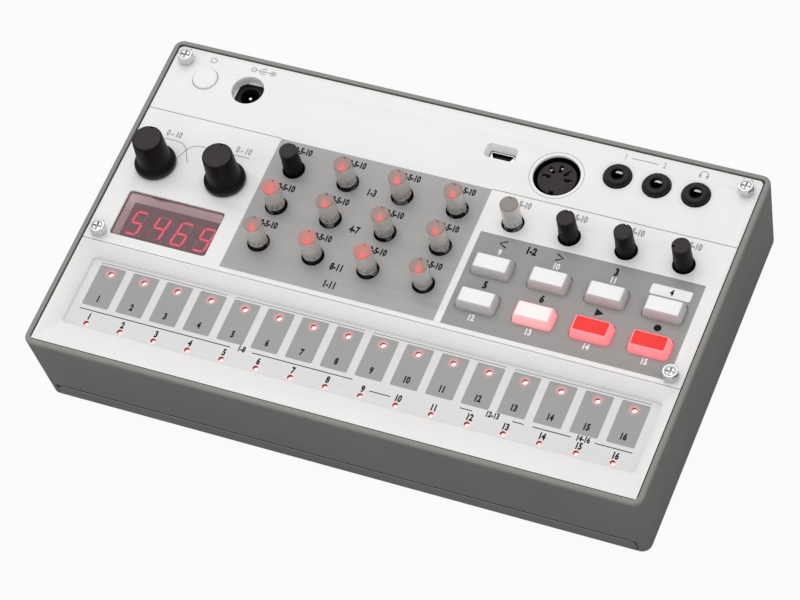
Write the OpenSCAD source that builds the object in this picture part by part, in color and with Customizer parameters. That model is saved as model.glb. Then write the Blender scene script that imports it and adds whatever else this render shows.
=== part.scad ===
// Compact table-top sampler: case, panels, controls, sockets, boards and battery bay.
// Millimetres. X runs to the right, Y to the back and Z up from the table.

/* [Case] */
// Width of the case at its rim
case_w = 193; // [192:0.5:206]
// Depth of the case at its rim
case_d = 115; // [114:0.5:124]
// Height of the case from its underside to its rim
case_h = 31; // [30:0.5:38]
// Thickness of the case walls
wall = 1.65; // [1.4:0.05:2.2]
// Inset of each side wall at the underside
draft_side = 1.1; // [0.2:0.1:1.6]
// Inset of the front wall at the underside
draft_front = 1.9; // [0.6:0.1:2.2]
// Radius of the upright corners
corner_r = 3; // [2.4:0.1:4.5]
// Bevel along the underside
edge_bevel = 0.7; // [0.3:0.1:1]
// Radius of the rim's outer edge
rim_round = 0.9; // [0.4:0.1:1.2]
// Height of the rubber feet below the case
foot_h = 1; // [0.6:0.1:3]
// Radius of the rubber feet
foot_r = 4; // [3:0.25:4.25]

/* [Panels] */
// Gap between the rim and the two panels
panel_gap = 0.35; // [0.2:0.05:0.6]
// Drop of the panels below the rim
panel_drop = 0.4; // [0:0.1:1]
// Thickness of the control panel
panel_t = 2; // [1.6:0.1:2.4]
// Radius of the panel screws' shanks
screw_r = 1.45; // [1.2:0.05:1.6]
// Width of the panel screws' heads across the corners
screw_head_w = 5.2; // [4.4:0.1:5.6]
// Height of the panel screws' heads
screw_head_h = 3.2; // [2.4:0.1:4]

/* [Touch keyboard] */
// Depth of the keyboard frame from front to back
frame_d = 37.2; // [36.8:0.2:39]
// Width of the frame's front slope
front_slope = 9.6; // [8.6:0.2:10.4]
// Width of the frame's back slope
back_slope = 2.8; // [2:0.2:3.4]
// Width of the frame's side slopes
side_slope = 4.1; // [3.2:0.1:4.6]
// Drop from the panels to the frame's inner lip
lip_drop = 4.1; // [3:0.1:4.4]
// Drop from the panels to the touch strip
strip_drop = 4.85; // [4.6:0.05:5.3]
// Thickness of the touch strip
strip_t = 1.8; // [1.4:0.1:2.2]
// Number of steps along the strip
step_count = 16; // [8:1:16]
// Distance between neighbouring steps, on a panel of the usual width
step_pitch = 11.04; // [10.4:0.02:11.2]
// Radius of the lamp holes in the strip
lamp_hole_r = 0.85; // [0.7:0.05:1.1]

/* [Knobs] */
// Distance between knob columns, on a panel of the usual width
column_pitch = 17.62; // [17:0.02:17.8]
// Distance between knob rows, on a panel of the usual depth
row_pitch = 13.6; // [12.8:0.1:14]
// Radius of the small knobs
knob_r = 2.9; // [2.6:0.05:3.1]
// Height of the small knobs above the panel
knob_h = 9.9; // [7:0.1:12]
// Radius of the small knobs' shafts
shaft_r = 2; // [1.7:0.05:2.2]
// Radius of the large knobs' skirts
skirt_r = 6.4; // [5.6:0.1:7]
// Radius of the large knobs' tops
large_top_r = 4.5; // [4.1:0.1:4.9]
// Height of the large knobs above the panel
large_h = 13.4; // [10:0.1:16]
// Radius of the large knobs' shafts
large_shaft_r = 3; // [2.6:0.05:3.1]

/* [Keys and display] */
// Width of a key at the panel
key_w = 12; // [10.6:0.1:12.6]
// Depth of a key at the panel
key_d = 6.6; // [5.8:0.1:7]
// Height of a key above the panel
key_h = 3; // [2:0.1:4]
// Slope of a key's sides, as inset at its top
key_taper = 0.85; // [0.3:0.05:1.2]
// Travel of a key
key_travel = 0.8; // [0.4:0.1:1.2]
// Radius of the power button
power_r = 3.85; // [3.2:0.05:4.2]
// Width of the display window
window_w = 31.6; // [31:0.1:32.4]
// Depth of the display window
window_d = 16.1; // [15:0.1:16.6]
// Height of a display digit
digit_h = 9.1; // [7.6:0.1:9.6]

/* [Sockets] */
// Radius of the plug bore in the mini jacks
plug_bore_r = 1.8; // [1.76:0.01:1.9]
// Distance between neighbouring mini jacks, on a panel of the usual width
jack_pitch = 12.15; // [11.6:0.05:12.4]
// Radius of the mini jacks' bushes
bush_r = 4.2; // [3.6:0.05:4.4]
// Outer radius of the round five-pole socket
din_r = 7.5; // [7.3:0.05:7.8]
// Radius of the power socket's bore
dc_bore_r = 2.9; // [2.8:0.05:3.2]
// Width of the data socket's shell
usb_w = 7.6; // [7.4:0.1:7.8]

/* [Battery bay] */
// Diameter of a battery cell
cell_d = 14.5; // [14:0.1:14.8]
// Length of a battery cell
cell_l = 50.5; // [49.5:0.1:50.8]
// Thickness of the battery cover's plate
cover_t = 1.8; // [1.5:0.1:2.2]
// Height of the cover's front lip
lip_h = 6.1; // [5.2:0.1:7]
// Gap around the battery cover
cover_gap = 0.3; // [0.2:0.05:0.4]

/* [Boards] */
// Drop from the panel to the control board
board_drop = 12; // [11.6:0.1:12.4]
// Thickness of the control board
board_t = 1.6; // [1.2:0.1:1.8]
// Thickness of the keyboard board
key_board_t = 1.2; // [1:0.1:1.6]

/* [Hidden] */
$fn = 64;
eps = 0.01;
fit_gap = 0.05;
touch_gap = 0.1;
moving_gap = 0.3;
over = 1;

// Case and panel planes
half_w = case_w / 2;
half_d = case_d / 2;
case_z = foot_h;
rim_z = case_z + case_h;
panel_z = rim_z - panel_drop;
under_z = panel_z - panel_t;
panel_half_w = half_w - wall - panel_gap;
panel_back = half_d - wall - panel_gap;
panel_corner_ease = 0.3;
panel_corner_r = corner_r - wall + panel_corner_ease;
frame_front = -panel_back;
seam_y = frame_front + frame_d;
seam_gap = 0.2;
panel_front = seam_y + seam_gap;
board_z = panel_z - board_drop;
bevel_slab = 0.02;
rim_steps = 3;
least_corner_r = 0.6;

// The layout is drawn for a control panel of this size, and spreads with the real one
layout_w = 189;
layout_d = 73.8;
spread_x = 2 * panel_half_w / layout_w;
spread_y = (panel_back - seam_y) / layout_d;

// Panel screws and the bosses that take them
screw_side_inset = 4.05;
screw_back_inset = 4.6;
screw_seam_inset = 3.3;
screw_x = panel_half_w - screw_side_inset;
screw_back_y = panel_back - screw_back_inset;
screw_front_y = seam_y + screw_seam_inset;
boss_r = 3.2;
boss_gap = 1;
screw_length = 9;
ear_t = 1.2;
ear_depth = 6.6;
ear_w = 5.4;
ear_side_gap = 0.2;
dish_r = screw_head_w * 0.34;
dish_floor_r = screw_head_w * 0.24;
dish_depth = 0.5;
cross_w = screw_head_w / 8;
cross_l = screw_head_w * 0.54;
cross_depth = screw_head_h / 2;

// Keyboard frame and touch strip
frame_margin = 0.4;
lip_z = panel_z - lip_drop;
strip_z = panel_z - strip_drop;
opening_x = panel_half_w - frame_margin - side_slope;
opening_front = frame_front + frame_margin + front_slope;
opening_back = seam_y - frame_margin - back_slope;
opening_corner_r = 1.2;
strip_tuck = 1.3;
step_lamp_inset = 4.2;
part_lamp_inset = 1.85;
step_lamp_y = opening_back - step_lamp_inset;
part_lamp_y = opening_front + part_lamp_inset;
lamp_stand = 0.6;
lamp_h = 1.65;
key_board_z = strip_z - strip_t - lamp_stand;
key_board_edge = 4;
key_board_tab_inset = 11.5;
key_board_tab_x = panel_half_w - key_board_tab_inset;
frame_screw_side_inset = 7.5;
frame_screw_front_inset = 5;
frame_screw_x = panel_half_w - frame_screw_side_inset;
frame_screw_y = frame_front + frame_screw_front_inset;
key_boss_r = 2.3;
key_boss_reach = 70;
key_boss_x = key_boss_reach * spread_x;

// Knob grid, counted from the left back corner
column_inset = 13.1;
row_inset = 12.85;
column_count = 8;
row_count = 3;
function column_x(i) = panel_half_w - spread_x * (column_inset + column_pitch * (column_count - 1 - i));
function row_y(j) = seam_y + spread_y * (row_inset + row_pitch * (row_count - 1 - j));
knob_hole_gap = 0.5;
knob_ridges = 24;
knob_ridge = 0.14;
knob_top_taper = 0.15;
knob_rim = 0.2;
knob_foot = 1.2;
knob_ridge_h = 4.4;
slot_w = 0.7;
slot_depth = 0.7;
slot_start_r = knob_r / 3;
pot_w = 9.6;
pot_d = 11;
pot_h = 7;
shaft_seat = 5.2;

// Each small knob: name, column, row, clear or black, and its pointer's turn from the back
small_knobs = [
    ["sample_knob", 0, 0, false, 0],
    ["start_knob", 1, 0, true, 0],
    ["length_knob", 2, 0, true, 0],
    ["hi_cut_knob", 3, 0, true, 0],
    ["tempo_knob", 4, 0, true, 0],
    ["swing_knob", 5, 0, false, 0],
    ["reverb_knob", 6, 0, false, 0],
    ["volume_knob", 7, 0, false, -113],
    ["speed_knob", 0, 1, true, 0],
    ["pitch_amount_knob", 1, 1, true, 0],
    ["pitch_attack_knob", 2, 1, true, 0],
    ["pitch_decay_knob", 3, 1, true, 0],
    ["level_knob", 0, 2, true, 0],
    ["pan_knob", 1, 2, true, 0],
    ["amp_attack_knob", 2, 2, true, 0],
    ["amp_decay_knob", 3, 2, true, 0],
];

// Large knobs
large_names = ["bass", "treble"];
large_side_insets = [10.85, 34.05];
large_seam_inset = 30.55;
large_x = [for (inset = large_side_insets) inset * spread_x - panel_half_w];
large_y = seam_y + large_seam_inset * spread_y;
large_skirt_h = 1.1;
large_skirt_gap = 0.4;
large_flare = 0.6;
large_waist_r = large_top_r + large_flare;
large_waist_h = 3.4;
large_rim = 0.4;
large_cap_t = 2.4;
large_bush_gap = 0.3;
large_bush_wall = 0.6;
large_slot_start_r = large_top_r * 0.6;

// Keys: names, and the colours of their tops
key_rows = [
    ["part_down_key", "part_up_key", "mute_key", "function_key"],
    ["memory_key", "step_key", "play_key", "record_key"],
];
key_first_column = 4;
key_row_pitch = 12.3;
key_inset = 11.2;
function key_y(j) = seam_y + spread_y * (key_inset + key_row_pitch * (1 - j));
key_corner_r = 1.2;
key_top_corner_r = 0.5;
key_straight = 0.6;
flange_t = 0.7;
flange_w = 0.8;
flange_gap = 0.15;
stem_w = 4;
switch_w = 6;
switch_h = 3.6;
actuator_r = 1.6;
actuator_h = 0.8;
switch_top = board_z + switch_h + actuator_h;
stem_z = switch_top + key_travel + touch_gap;
flange_top = under_z - flange_gap;

// Power button
power_side_inset = 12.6;
power_back_inset = 9.8;
power_x = power_side_inset * spread_x - panel_half_w;
power_y = panel_back - power_back_inset;
power_rise = 0.6;
power_bevel = 0.4;
power_gap = 0.2;

// Display window and module
window_side_inset = 7.2;
window_seam_inset = 11.65;
window_x = window_side_inset + window_w / 2 - panel_half_w;
window_y = seam_y + window_seam_inset * spread_y;
window_corner_r = 1;
window_sink = 0.5;
window_flange = 1;
window_flange_t = 1;
shade_t = 1.2;
shade_x = window_w / 2 + window_flange + touch_gap;
shade_y = window_d / 2 + window_flange + touch_gap;
shade_front = seam_y + ear_depth + moving_gap;
module_w = 30;
module_d = 14;
module_h = 7.2;
module_corner_r = 0.4;
digit_count = 4;
digit_pitch = 7.5;
digit_w = 4.6;
stroke = 1.05;
segment_gap = 0.14;
dot_r = stroke * 0.45;
dot_shift = stroke * 0.75;
segment_t = 0.12;
digit_slant = 8;

// Sockets along the back
jack_count = 3;
jack_side_inset = 17.7;
jack_back_inset = 9.9;
jack_y = panel_back - jack_back_inset;
function jack_x(i) = panel_half_w - spread_x * (jack_side_inset + jack_pitch * (jack_count - 1 - i));
jack_w = 9;
jack_d = 11;
jack_shoulder = 0.3;
jack_rise = 0.7;
jack_collar_rise = 1.4;
jack_collar_r = 3.2;
jack_floor = 2;
contact_t = 0.6;
contact_r = 1.2;
din_side_inset = 59.5;
din_back_inset = 14.4;
din_x = panel_half_w - din_side_inset * spread_x;
din_y = panel_back - din_back_inset;
din_sink = 1;
din_face_sink = 1.5;
din_wall = 0.65;
din_insert_r = 6.1;
din_pin_circle_r = 3.6;
din_pin_r = 0.75;
din_pin_depth = 6;
din_key_depth = 1.5 * din_pin_r;
din_hole_r = din_r + moving_gap;
din_hole_bevel = 1.1;
din_base = 3;
dc_side_inset = 27.2;
dc_back_inset = 10.3;
dc_x = dc_side_inset * spread_x - panel_half_w;
dc_y = panel_back - dc_back_inset;
dc_sink = 3.4;
dc_body_r = 4.5;
dc_hole_r = 5.05;
dc_collar_wall = 1.1;
dc_pin_r = 1;
dc_floor = 1.4;
usb_side_inset = 78.4;
usb_back_inset = 11.1;
usb_x = panel_half_w - usb_side_inset * spread_x;
usb_y = panel_back - usb_back_inset;
usb_corner_r = 0.6;
usb_tongue_corner_r = 0.1;
usb_d = 2.7;
usb_sink = 2.6;
usb_wall = 0.35;
usb_tongue_w = 4.8;
usb_tongue_t = 0.7;
usb_hole_margin = 1.1;
usb_tongue_sink = 0.6;

// Battery bay in the case, and its cover
bay_rows = 2;
row_cells = 3;
bay_slack = 0.8;
contact_room = 6.5;
bay_wall = 1.4;
bay_roof_t = 1;
bay_half_l = (row_cells * cell_l + contact_room) / 2;
bay_d = bay_rows * cell_d + 2 * bay_slack;
bay_h = cell_d + bay_slack;
cover_top = case_z + cover_t;
floor_skin = 0.6;
floor_t = cover_t + floor_skin;
floor_z = case_z + floor_t;
lip_t = 2;
bay_front = -half_d + draft_front + lip_t + cover_gap + bay_wall;
bay_back = bay_front + bay_d;
bay_roof = cover_top + bay_h;
plate_side = 1;
plate_tail = 3.2;
plate_half_w = bay_half_l + plate_side;
plate_back = bay_back + plate_tail;
plinth_w = 3.5;
plinth_h = 1.2;
wing_d = 3;
wing_back = bay_front + wing_d;
lip_side_inset = 4.5;
lip_half_w = half_w - lip_side_inset;
lip_corner_r = 2.5;
tongue_w = 1.6;
tongue_t = 0.75;
slide_gap = 0.15;
pocket_z = case_z + lip_h + cover_gap;
pocket_wall = 1.6;
post_r = 3;
post_gap = 1;
post_bore_r = 2.3;
frame_screw_head_r = 1.9;
frame_screw_head_h = 1.3;
frame_screw_shank_r = 0.95;
frame_screw_seat = 3.2;
frame_screw_bite = 2.2;
spring_r0 = 4.6;
spring_r1 = 3;
spring_l = 7;
spring_turns = 4;
wire_r = 0.4;
spring_rings = 8;
spring_sides = 6;
contact_w = 11;
contact_plate_t = 0.5;
nub_r = 2.6;
nub_h = 0.8;

// Feet: the front ones stand beside the battery cover, or behind it where the case is too narrow
foot_side_inset = 8.2;
foot_back_inset = 10.5;
foot_margin = 2;
foot_x = half_w - draft_side - foot_side_inset;
foot_beside = foot_x - foot_r > plate_half_w + tongue_w + cover_gap;
foot_front_y = (foot_beside ? wing_back + pocket_wall : plate_back) + cover_gap + foot_margin + foot_r;
foot_back_y = half_d - foot_back_inset;
foot_seat = 0.8;

// Boards and their screws
board_seam_inset = 1;
board_back_inset = 1.5;
board_side_inset = 3;
board_front = seam_y + board_seam_inset;
board_back = panel_back - board_back_inset;
board_half_w = panel_half_w - board_side_inset;
standoff_r = 2.2;
board_screw_r = 0.85;
board_screw_head_r = 1.8;
board_screw_head_h = 0.8;
board_screw_bite = 5;
key_screw_bite = 1.9;
key_screw_l = lamp_stand + key_screw_bite;
standoff_gap = 0.6;
standoff_back_y = (row_y(0) + pot_d / 2 + jack_y - jack_d / 2) / 2;
standoff_front_y = row_y(row_count - 1) - pot_d / 2 - standoff_gap - standoff_r;
standoff_left_x = column_x(0) - pot_w / 2 + standoff_r;
standoff_mid_x = (column_x(3) + pot_w / 2 + column_x(4) - key_w / 2 - flange_w) / 2;
standoff_right_x = (column_x(6) + column_x(7)) / 2;
standoffs = [
    for (x = [standoff_left_x, standoff_mid_x, standoff_right_x])
        for (y = [standoff_front_y, standoff_back_y]) [x, y]
];
key_board_screws = [for (x = [-key_boss_x, 0, key_boss_x]) [x, frame_screw_y]];
led_w = 1.6;
led_h = 0.8;
ribbon_w = 20;
ribbon_t = 0.3;
ribbon_overlap = 4.5;
ribbon_tail = 8;
ribbon_start = opening_back - ribbon_overlap;
ribbon_end = board_front + ribbon_tail;

// Colours
case_grey = [0.36, 0.355, 0.345];
panel_white = [0.93, 0.93, 0.93];
strip_grey = [0.8, 0.8, 0.8];
black = [0.06, 0.06, 0.065];
metal = [0.75, 0.76, 0.78];
board_green = [0.1, 0.35, 0.2];
clear_grey = [0.8, 0.76, 0.74];
lamp_red = [0.95, 0.25, 0.2];
window_red = [0.45, 0.3, 0.34];
contact_gold = [0.85, 0.7, 0.35];
ribbon_white = [0.88, 0.88, 0.85];

knob_names = [for (k = small_knobs) k[0]];
key_names = concat(key_rows[0], key_rows[1]);

// Outlines and small helpers
function arc(cx, cy, r, from, steps = 8) =
    [for (i = [0:steps]) [cx + r * cos(from + 90 * i / steps), cy + r * sin(from + 90 * i / steps)]];

function round_rect(x0, x1, y0, y1, r) = concat(
    arc(x1 - r, y1 - r, r, 0),
    arc(x0 + r, y1 - r, r, 90),
    arc(x0 + r, y0 + r, r, 180),
    arc(x1 - r, y0 + r, r, 270)
);

module block(x0, x1, y0, y1, z0, z1) {
    translate([x0, y0, z0]) cube([x1 - x0, y1 - y0, z1 - z0]);
}

module round_block(w, d, r, z0, z1) {
    translate([0, 0, z0]) linear_extrude(z1 - z0) polygon(round_rect(-w / 2, w / 2, -d / 2, d / 2, r));
}

module rod(r, z0, z1) {
    translate([0, 0, z0]) cylinder(r = r, h = z1 - z0);
}

module mirror_pair() {
    children();
    mirror([1, 0, 0]) children();
}

module at_screws() {
    mirror_pair() translate([screw_x, screw_back_y]) children();
    mirror_pair() translate([screw_x, screw_front_y]) children();
}

module at_jacks() {
    for (i = [0:jack_count - 1]) translate([jack_x(i), jack_y]) children();
}

module at_knobs() {
    for (k = small_knobs) translate([column_x(k[1]), row_y(k[2])]) children();
}

module at_keys() {
    for (j = [0:1], i = [0:3]) translate([column_x(key_first_column + i), key_y(j)]) children();
}

module at_lamps() {
    for (i = [0:step_count - 1], y = [step_lamp_y, part_lamp_y])
        translate([(i - (step_count - 1) / 2) * step_pitch * spread_x, y]) children();
}

// Case outline at a height; drop is 0 at the rim and 1 at the underside
module case_slab(z, inset) {
    drop = (rim_z - z) / case_h;
    x1 = half_w - draft_side * drop - inset;
    y0 = -half_d + draft_front * drop + inset;
    translate([0, 0, z]) linear_extrude(bevel_slab)
        polygon(round_rect(-x1, x1, y0, half_d - inset, max(corner_r - inset, least_corner_r)));
}

module case_body() {
    hull() {
        case_slab(case_z, edge_bevel);
        case_slab(case_z + edge_bevel, 0);
        for (i = [0:rim_steps]) {
            turn = 90 * i / rim_steps;
            case_slab(rim_z - bevel_slab - rim_round * (1 - sin(turn)), rim_round * (1 - cos(turn)));
        }
    }
}

module case_hollow() {
    hull() {
        case_slab(floor_z, wall);
        case_slab(rim_z + eps, wall);
    }
}

// Room for the battery cover: its plate, wings, tongues and front lip
module cover_room() {
    z1 = cover_top + cover_gap;
    x1 = plate_half_w + cover_gap;
    x2 = lip_half_w + cover_gap;
    y2 = wing_back + cover_gap;
    block(-x1, x1, -half_d - over, plate_back + cover_gap, 0, z1);
    block(-x2, x2, -half_d - over, y2, 0, z1);
    block(-x2, x2, -half_d - over, bay_front - bay_wall - eps, 0, pocket_z);
    mirror_pair() {
        block(x1 + plinth_w, x2, -half_d - over, y2, 0, pocket_z);
        block(x1 - eps, plate_half_w + tongue_w + slide_gap, -half_d, plate_back + cover_gap,
            cover_top - tongue_t - slide_gap, cover_top + slide_gap);
    }
}

module bay_shell() {
    plinth_x = plate_half_w + cover_gap + plinth_w;
    block(-bay_half_l - bay_wall, bay_half_l + bay_wall, bay_front - bay_wall, bay_back + bay_wall,
        case_z, bay_roof + bay_roof_t);
    block(-plinth_x, plinth_x, bay_front - bay_wall, plate_back + cover_gap + bay_wall,
        case_z, floor_z + plinth_h);
    mirror_pair() block(plinth_x - pocket_wall, half_w, -half_d, wing_back + cover_gap + pocket_wall,
        case_z, pocket_z + pocket_wall);
}

module lower_case() {
    post_top = strip_z;
    color(case_grey) difference() {
        union() {
            difference() {
                case_body();
                case_hollow();
            }
            intersection() {
                case_body();
                bay_shell();
            }
            mirror_pair() {
                translate([screw_x, screw_back_y]) rod(boss_r, floor_z - eps, under_z);
                translate([screw_x, screw_front_y]) rod(boss_r, floor_z - eps, under_z - ear_t);
                translate([frame_screw_x, frame_screw_y]) rod(post_r, pocket_z, post_top);
            }
        }
        block(-bay_half_l, bay_half_l, bay_front, bay_back, 0, bay_roof);
        cover_room();
        at_screws() rod(screw_r + fit_gap, under_z - screw_length, rim_z);
        mirror_pair() {
            translate([frame_screw_x, frame_screw_y]) {
                rod(post_bore_r, pocket_z - eps, post_top - frame_screw_seat);
                rod(frame_screw_shank_r + touch_gap, pocket_z, post_top + eps);
            }
            for (y = [foot_front_y, foot_back_y])
                translate([foot_x, y]) rod(foot_r + fit_gap, 0, case_z + foot_seat);
        }
    }
}

module rubber_feet() {
    color(black) mirror_pair()
        for (y = [foot_front_y, foot_back_y]) translate([foot_x, y]) rod(foot_r, 0, case_z + foot_seat);
}

module battery_cover() {
    lip_top = case_z + lip_h;
    y0 = -half_d - over;
    color(case_grey) intersection() {
        case_body();
        union() {
            block(-plate_half_w, plate_half_w, y0, plate_back, case_z, cover_top);
            block(-lip_half_w, lip_half_w, y0, wing_back, case_z, cover_top);
            mirror_pair() block(plate_half_w - eps, plate_half_w + tongue_w, wing_back - eps, plate_back,
                cover_top - tongue_t, cover_top);
            translate([0, bay_front - bay_wall - cover_gap, 0]) rotate([90, 0, 0])
                linear_extrude(lip_t + draft_front)
                    polygon(concat(
                        arc(lip_half_w - lip_corner_r, lip_top - lip_corner_r, lip_corner_r, 0),
                        arc(lip_corner_r - lip_half_w, lip_top - lip_corner_r, lip_corner_r, 90),
                        [[-lip_half_w, case_z], [lip_half_w, case_z]]
                    ));
        }
    }
}

// One tube wound from r0 to r1 over its length along X
function spring_point(t) =
    let (a = 360 * spring_turns * t, r = spring_r0 + (spring_r1 - spring_r0) * t)
    [wire_r + (spring_l - 2 * wire_r) * t, r * cos(a), r * sin(a)];

function unit(v) = v / norm(v);

function spring_ring(t) =
    let (
        dt = 0.001,
        along = unit(spring_point(t + dt) - spring_point(t - dt)),
        out = unit(cross(along, [1, 0, 0])),
        side = cross(along, out)
    )
    [for (s = [0:spring_sides - 1])
        spring_point(t) + wire_r * (cos(360 * s / spring_sides) * out + sin(360 * s / spring_sides) * side)];

module spring_tube() {
    steps = spring_turns * spring_rings;
    n = spring_sides;
    points = [for (i = [0:steps]) each spring_ring(i / steps)];
    sides = [
        for (i = [0:steps - 1], s = [0:n - 1])
            let (a = i * n + s, b = i * n + (s + 1) % n)
            each [[a, b, a + n], [b, b + n, a + n]]
    ];
    start = [for (s = [1:n - 2]) [0, s + 1, s]];
    finish = [for (s = [1:n - 2]) [steps * n, steps * n + s, steps * n + s + 1]];
    polyhedron(points, concat(sides, start, finish));
}

spring_gap = (spring_l - 2 * wire_r) / spring_turns - 2 * wire_r;
echo(least_spring_gap = spring_gap);

function cell_y(row) = bay_front + bay_slack + cell_d * (row + 0.5);
cell_z = cover_top + bay_h / 2;

module battery_springs() {
    color(metal) {
        translate([-bay_half_l + contact_plate_t, cell_y(0), cell_z]) spring_tube();
        mirror([1, 0, 0]) translate([-bay_half_l + contact_plate_t, cell_y(1), cell_z]) spring_tube();
    }
}

module contact_plate(y0, y1) {
    block(-bay_half_l, -bay_half_l + contact_plate_t, y0, y1,
        cell_z - contact_w / 2, cell_z + contact_w / 2);
}

module contact_nub(row) {
    translate([-bay_half_l, cell_y(row), cell_z]) rotate([0, 90, 0]) rod(nub_r, 0, contact_plate_t + nub_h);
}

module battery_contacts() {
    color(metal) {
        contact_plate(cell_y(0) - contact_w / 2, cell_y(0) + contact_w / 2);
        contact_plate(cell_y(1) - contact_w / 2, cell_y(1) + contact_w / 2);
        contact_nub(1);
        mirror([1, 0, 0]) {
            contact_plate(cell_y(0) - contact_w / 2, cell_y(1) + contact_w / 2);
            contact_nub(0);
        }
    }
}

// Wall under the panel, behind the display and on both its sides
module display_shade() {
    z0 = board_z + moving_gap;
    z1 = under_z + eps;
    back = window_y + shade_y;
    translate([window_x, 0]) {
        mirror_pair() block(shade_x, shade_x + shade_t, shade_front, back + eps, z0, z1);
        block(-shade_x - shade_t, shade_x + shade_t, back, back + shade_t, z0, z1);
    }
}

module control_panel() {
    usb_hole_w = usb_w + 2 * usb_hole_margin;
    usb_hole_d = usb_d + 2 * usb_hole_margin;
    color(panel_white) difference() {
        union() {
            translate([0, 0, under_z]) linear_extrude(panel_t) polygon(concat(
                arc(panel_half_w - panel_corner_r, panel_back - panel_corner_r, panel_corner_r, 0),
                arc(panel_corner_r - panel_half_w, panel_back - panel_corner_r, panel_corner_r, 90),
                [[-panel_half_w, panel_front], [panel_half_w, panel_front]]
            ));
            for (p = standoffs) translate(p) rod(standoff_r, board_z, under_z + eps);
            translate([dc_x, dc_y]) rod(dc_hole_r + dc_collar_wall, panel_z - dc_sink, under_z + eps);
            display_shade();
        }
        at_screws() rod(screw_r + moving_gap, under_z - over, panel_z + over);
        at_knobs() rod(knob_r + knob_hole_gap, under_z - over, panel_z + over);
        at_keys() round_block(key_w + 2 * moving_gap, key_d + 2 * moving_gap, key_corner_r + moving_gap,
            under_z - over, panel_z + over);
        at_jacks() rod(bush_r + 2 * touch_gap, under_z - over, panel_z + over);
        for (x = large_x) translate([x, large_y])
            rod(large_shaft_r + 2 * moving_gap, under_z - over, panel_z + over);
        for (p = standoffs) translate(p)
            rod(board_screw_r + fit_gap, board_z - over, board_z + board_screw_bite);
        translate([power_x, power_y]) rod(power_r + power_gap, under_z - over, panel_z + over);
        translate([dc_x, dc_y]) rod(dc_hole_r, panel_z - dc_sink - over, panel_z + over);
        translate([din_x, din_y, under_z - eps])
            cylinder(r1 = din_hole_r, r2 = din_hole_r + din_hole_bevel, h = panel_t + 2 * eps);
        translate([usb_x, usb_y])
            round_block(usb_hole_w, usb_hole_d, usb_hole_d / 4, under_z - over, panel_z + over);
        translate([window_x, window_y])
            round_block(window_w, window_d, window_corner_r, under_z - over, panel_z + over);
    }
}

module panel_screws() {
    top = panel_z + screw_head_h;
    color(metal) at_screws() {
        rod(screw_r, panel_z - screw_length, panel_z + eps);
        difference() {
            translate([0, 0, panel_z]) cylinder(r = screw_head_w / 2, h = screw_head_h, $fn = 6);
            translate([0, 0, top - dish_depth])
                cylinder(r1 = dish_floor_r, r2 = dish_r, h = dish_depth + eps);
            for (turn = [0, 90]) rotate(turn)
                block(-cross_l / 2, cross_l / 2, -cross_w / 2, cross_w / 2, top - cross_depth, top + over);
        }
    }
}

module strip_opening(z0, z1) {
    translate([0, (opening_front + opening_back) / 2])
        round_block(2 * opening_x, opening_back - opening_front, opening_corner_r, z0, z1);
}

module keyboard_frame() {
    margin_x = panel_half_w - frame_margin;
    ear_x = panel_half_w - ear_side_gap;
    color(panel_white) difference() {
        union() {
            block(-panel_half_w, panel_half_w, frame_front, seam_y, strip_z, panel_z);
            mirror_pair()
                block(ear_x - ear_w, ear_x, seam_y - eps, seam_y + ear_depth, under_z - ear_t, under_z);
            for (p = key_board_screws) translate(p) rod(key_boss_r, key_board_z, strip_z + eps);
        }
        hull() {
            block(-margin_x, margin_x, frame_front + frame_margin, seam_y - frame_margin,
                panel_z, panel_z + over);
            strip_opening(lip_z, lip_z + eps);
        }
        strip_opening(strip_z - over, panel_z);
        mirror_pair() {
            translate([screw_x, screw_front_y])
                rod(screw_r + moving_gap, under_z - ear_t - over, under_z + over);
            translate([frame_screw_x, frame_screw_y])
                rod(frame_screw_shank_r + fit_gap, strip_z - over, strip_z + frame_screw_bite + touch_gap);
        }
        for (p = key_board_screws) translate(p)
            rod(board_screw_r + fit_gap, key_board_z - over, key_board_z + key_screw_l + touch_gap);
    }
}

module touch_strip() {
    color(strip_grey) difference() {
        block(-opening_x - strip_tuck, opening_x + strip_tuck,
            opening_front - strip_tuck, opening_back + strip_tuck, strip_z - strip_t, strip_z);
        at_lamps() rod(lamp_hole_r, strip_z - strip_t - over, strip_z + over);
    }
}

module strip_lamps() {
    color(lamp_red) at_lamps() rod(lamp_hole_r - touch_gap, key_board_z, key_board_z + lamp_h);
}

module keyboard_board() {
    z0 = key_board_z - key_board_t;
    color(board_green) difference() {
        union() {
            block(key_board_edge - panel_half_w, panel_half_w - key_board_edge,
                frame_screw_y + post_r + post_gap, opening_back + strip_tuck, z0, key_board_z);
            block(-key_board_tab_x, key_board_tab_x, frame_screw_y - post_r, opening_back, z0, key_board_z);
        }
        for (p = key_board_screws) translate(p)
            rod(board_screw_r + touch_gap, z0 - over, key_board_z + over);
    }
}

module control_board() {
    z0 = board_z - board_t;
    color(board_green) difference() {
        block(-board_half_w, board_half_w, board_front, board_back, z0, board_z);
        at_screws() rod(boss_r + boss_gap, z0 - over, board_z + over);
        for (p = standoffs) translate(p) rod(board_screw_r + touch_gap, z0 - over, board_z + over);
    }
}

module screw_up(seat_z, shank_r, head_r, head_h, shank_l) {
    rod(head_r, seat_z - head_h, seat_z);
    rod(shank_r, seat_z - eps, seat_z + shank_l);
}

module board_screws() {
    color(metal) {
        for (p = standoffs) translate(p)
            screw_up(board_z - board_t, board_screw_r, board_screw_head_r, board_screw_head_h,
                board_t + board_screw_bite);
        for (p = key_board_screws) translate(p)
            screw_up(key_board_z - key_board_t, board_screw_r, board_screw_head_r, board_screw_head_h,
                key_board_t + key_screw_l);
    }
}

module frame_screws() {
    color(metal) mirror_pair() translate([frame_screw_x, frame_screw_y])
        screw_up(strip_z - frame_screw_seat, frame_screw_shank_r, frame_screw_head_r, frame_screw_head_h,
            frame_screw_seat + frame_screw_bite);
}

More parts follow.
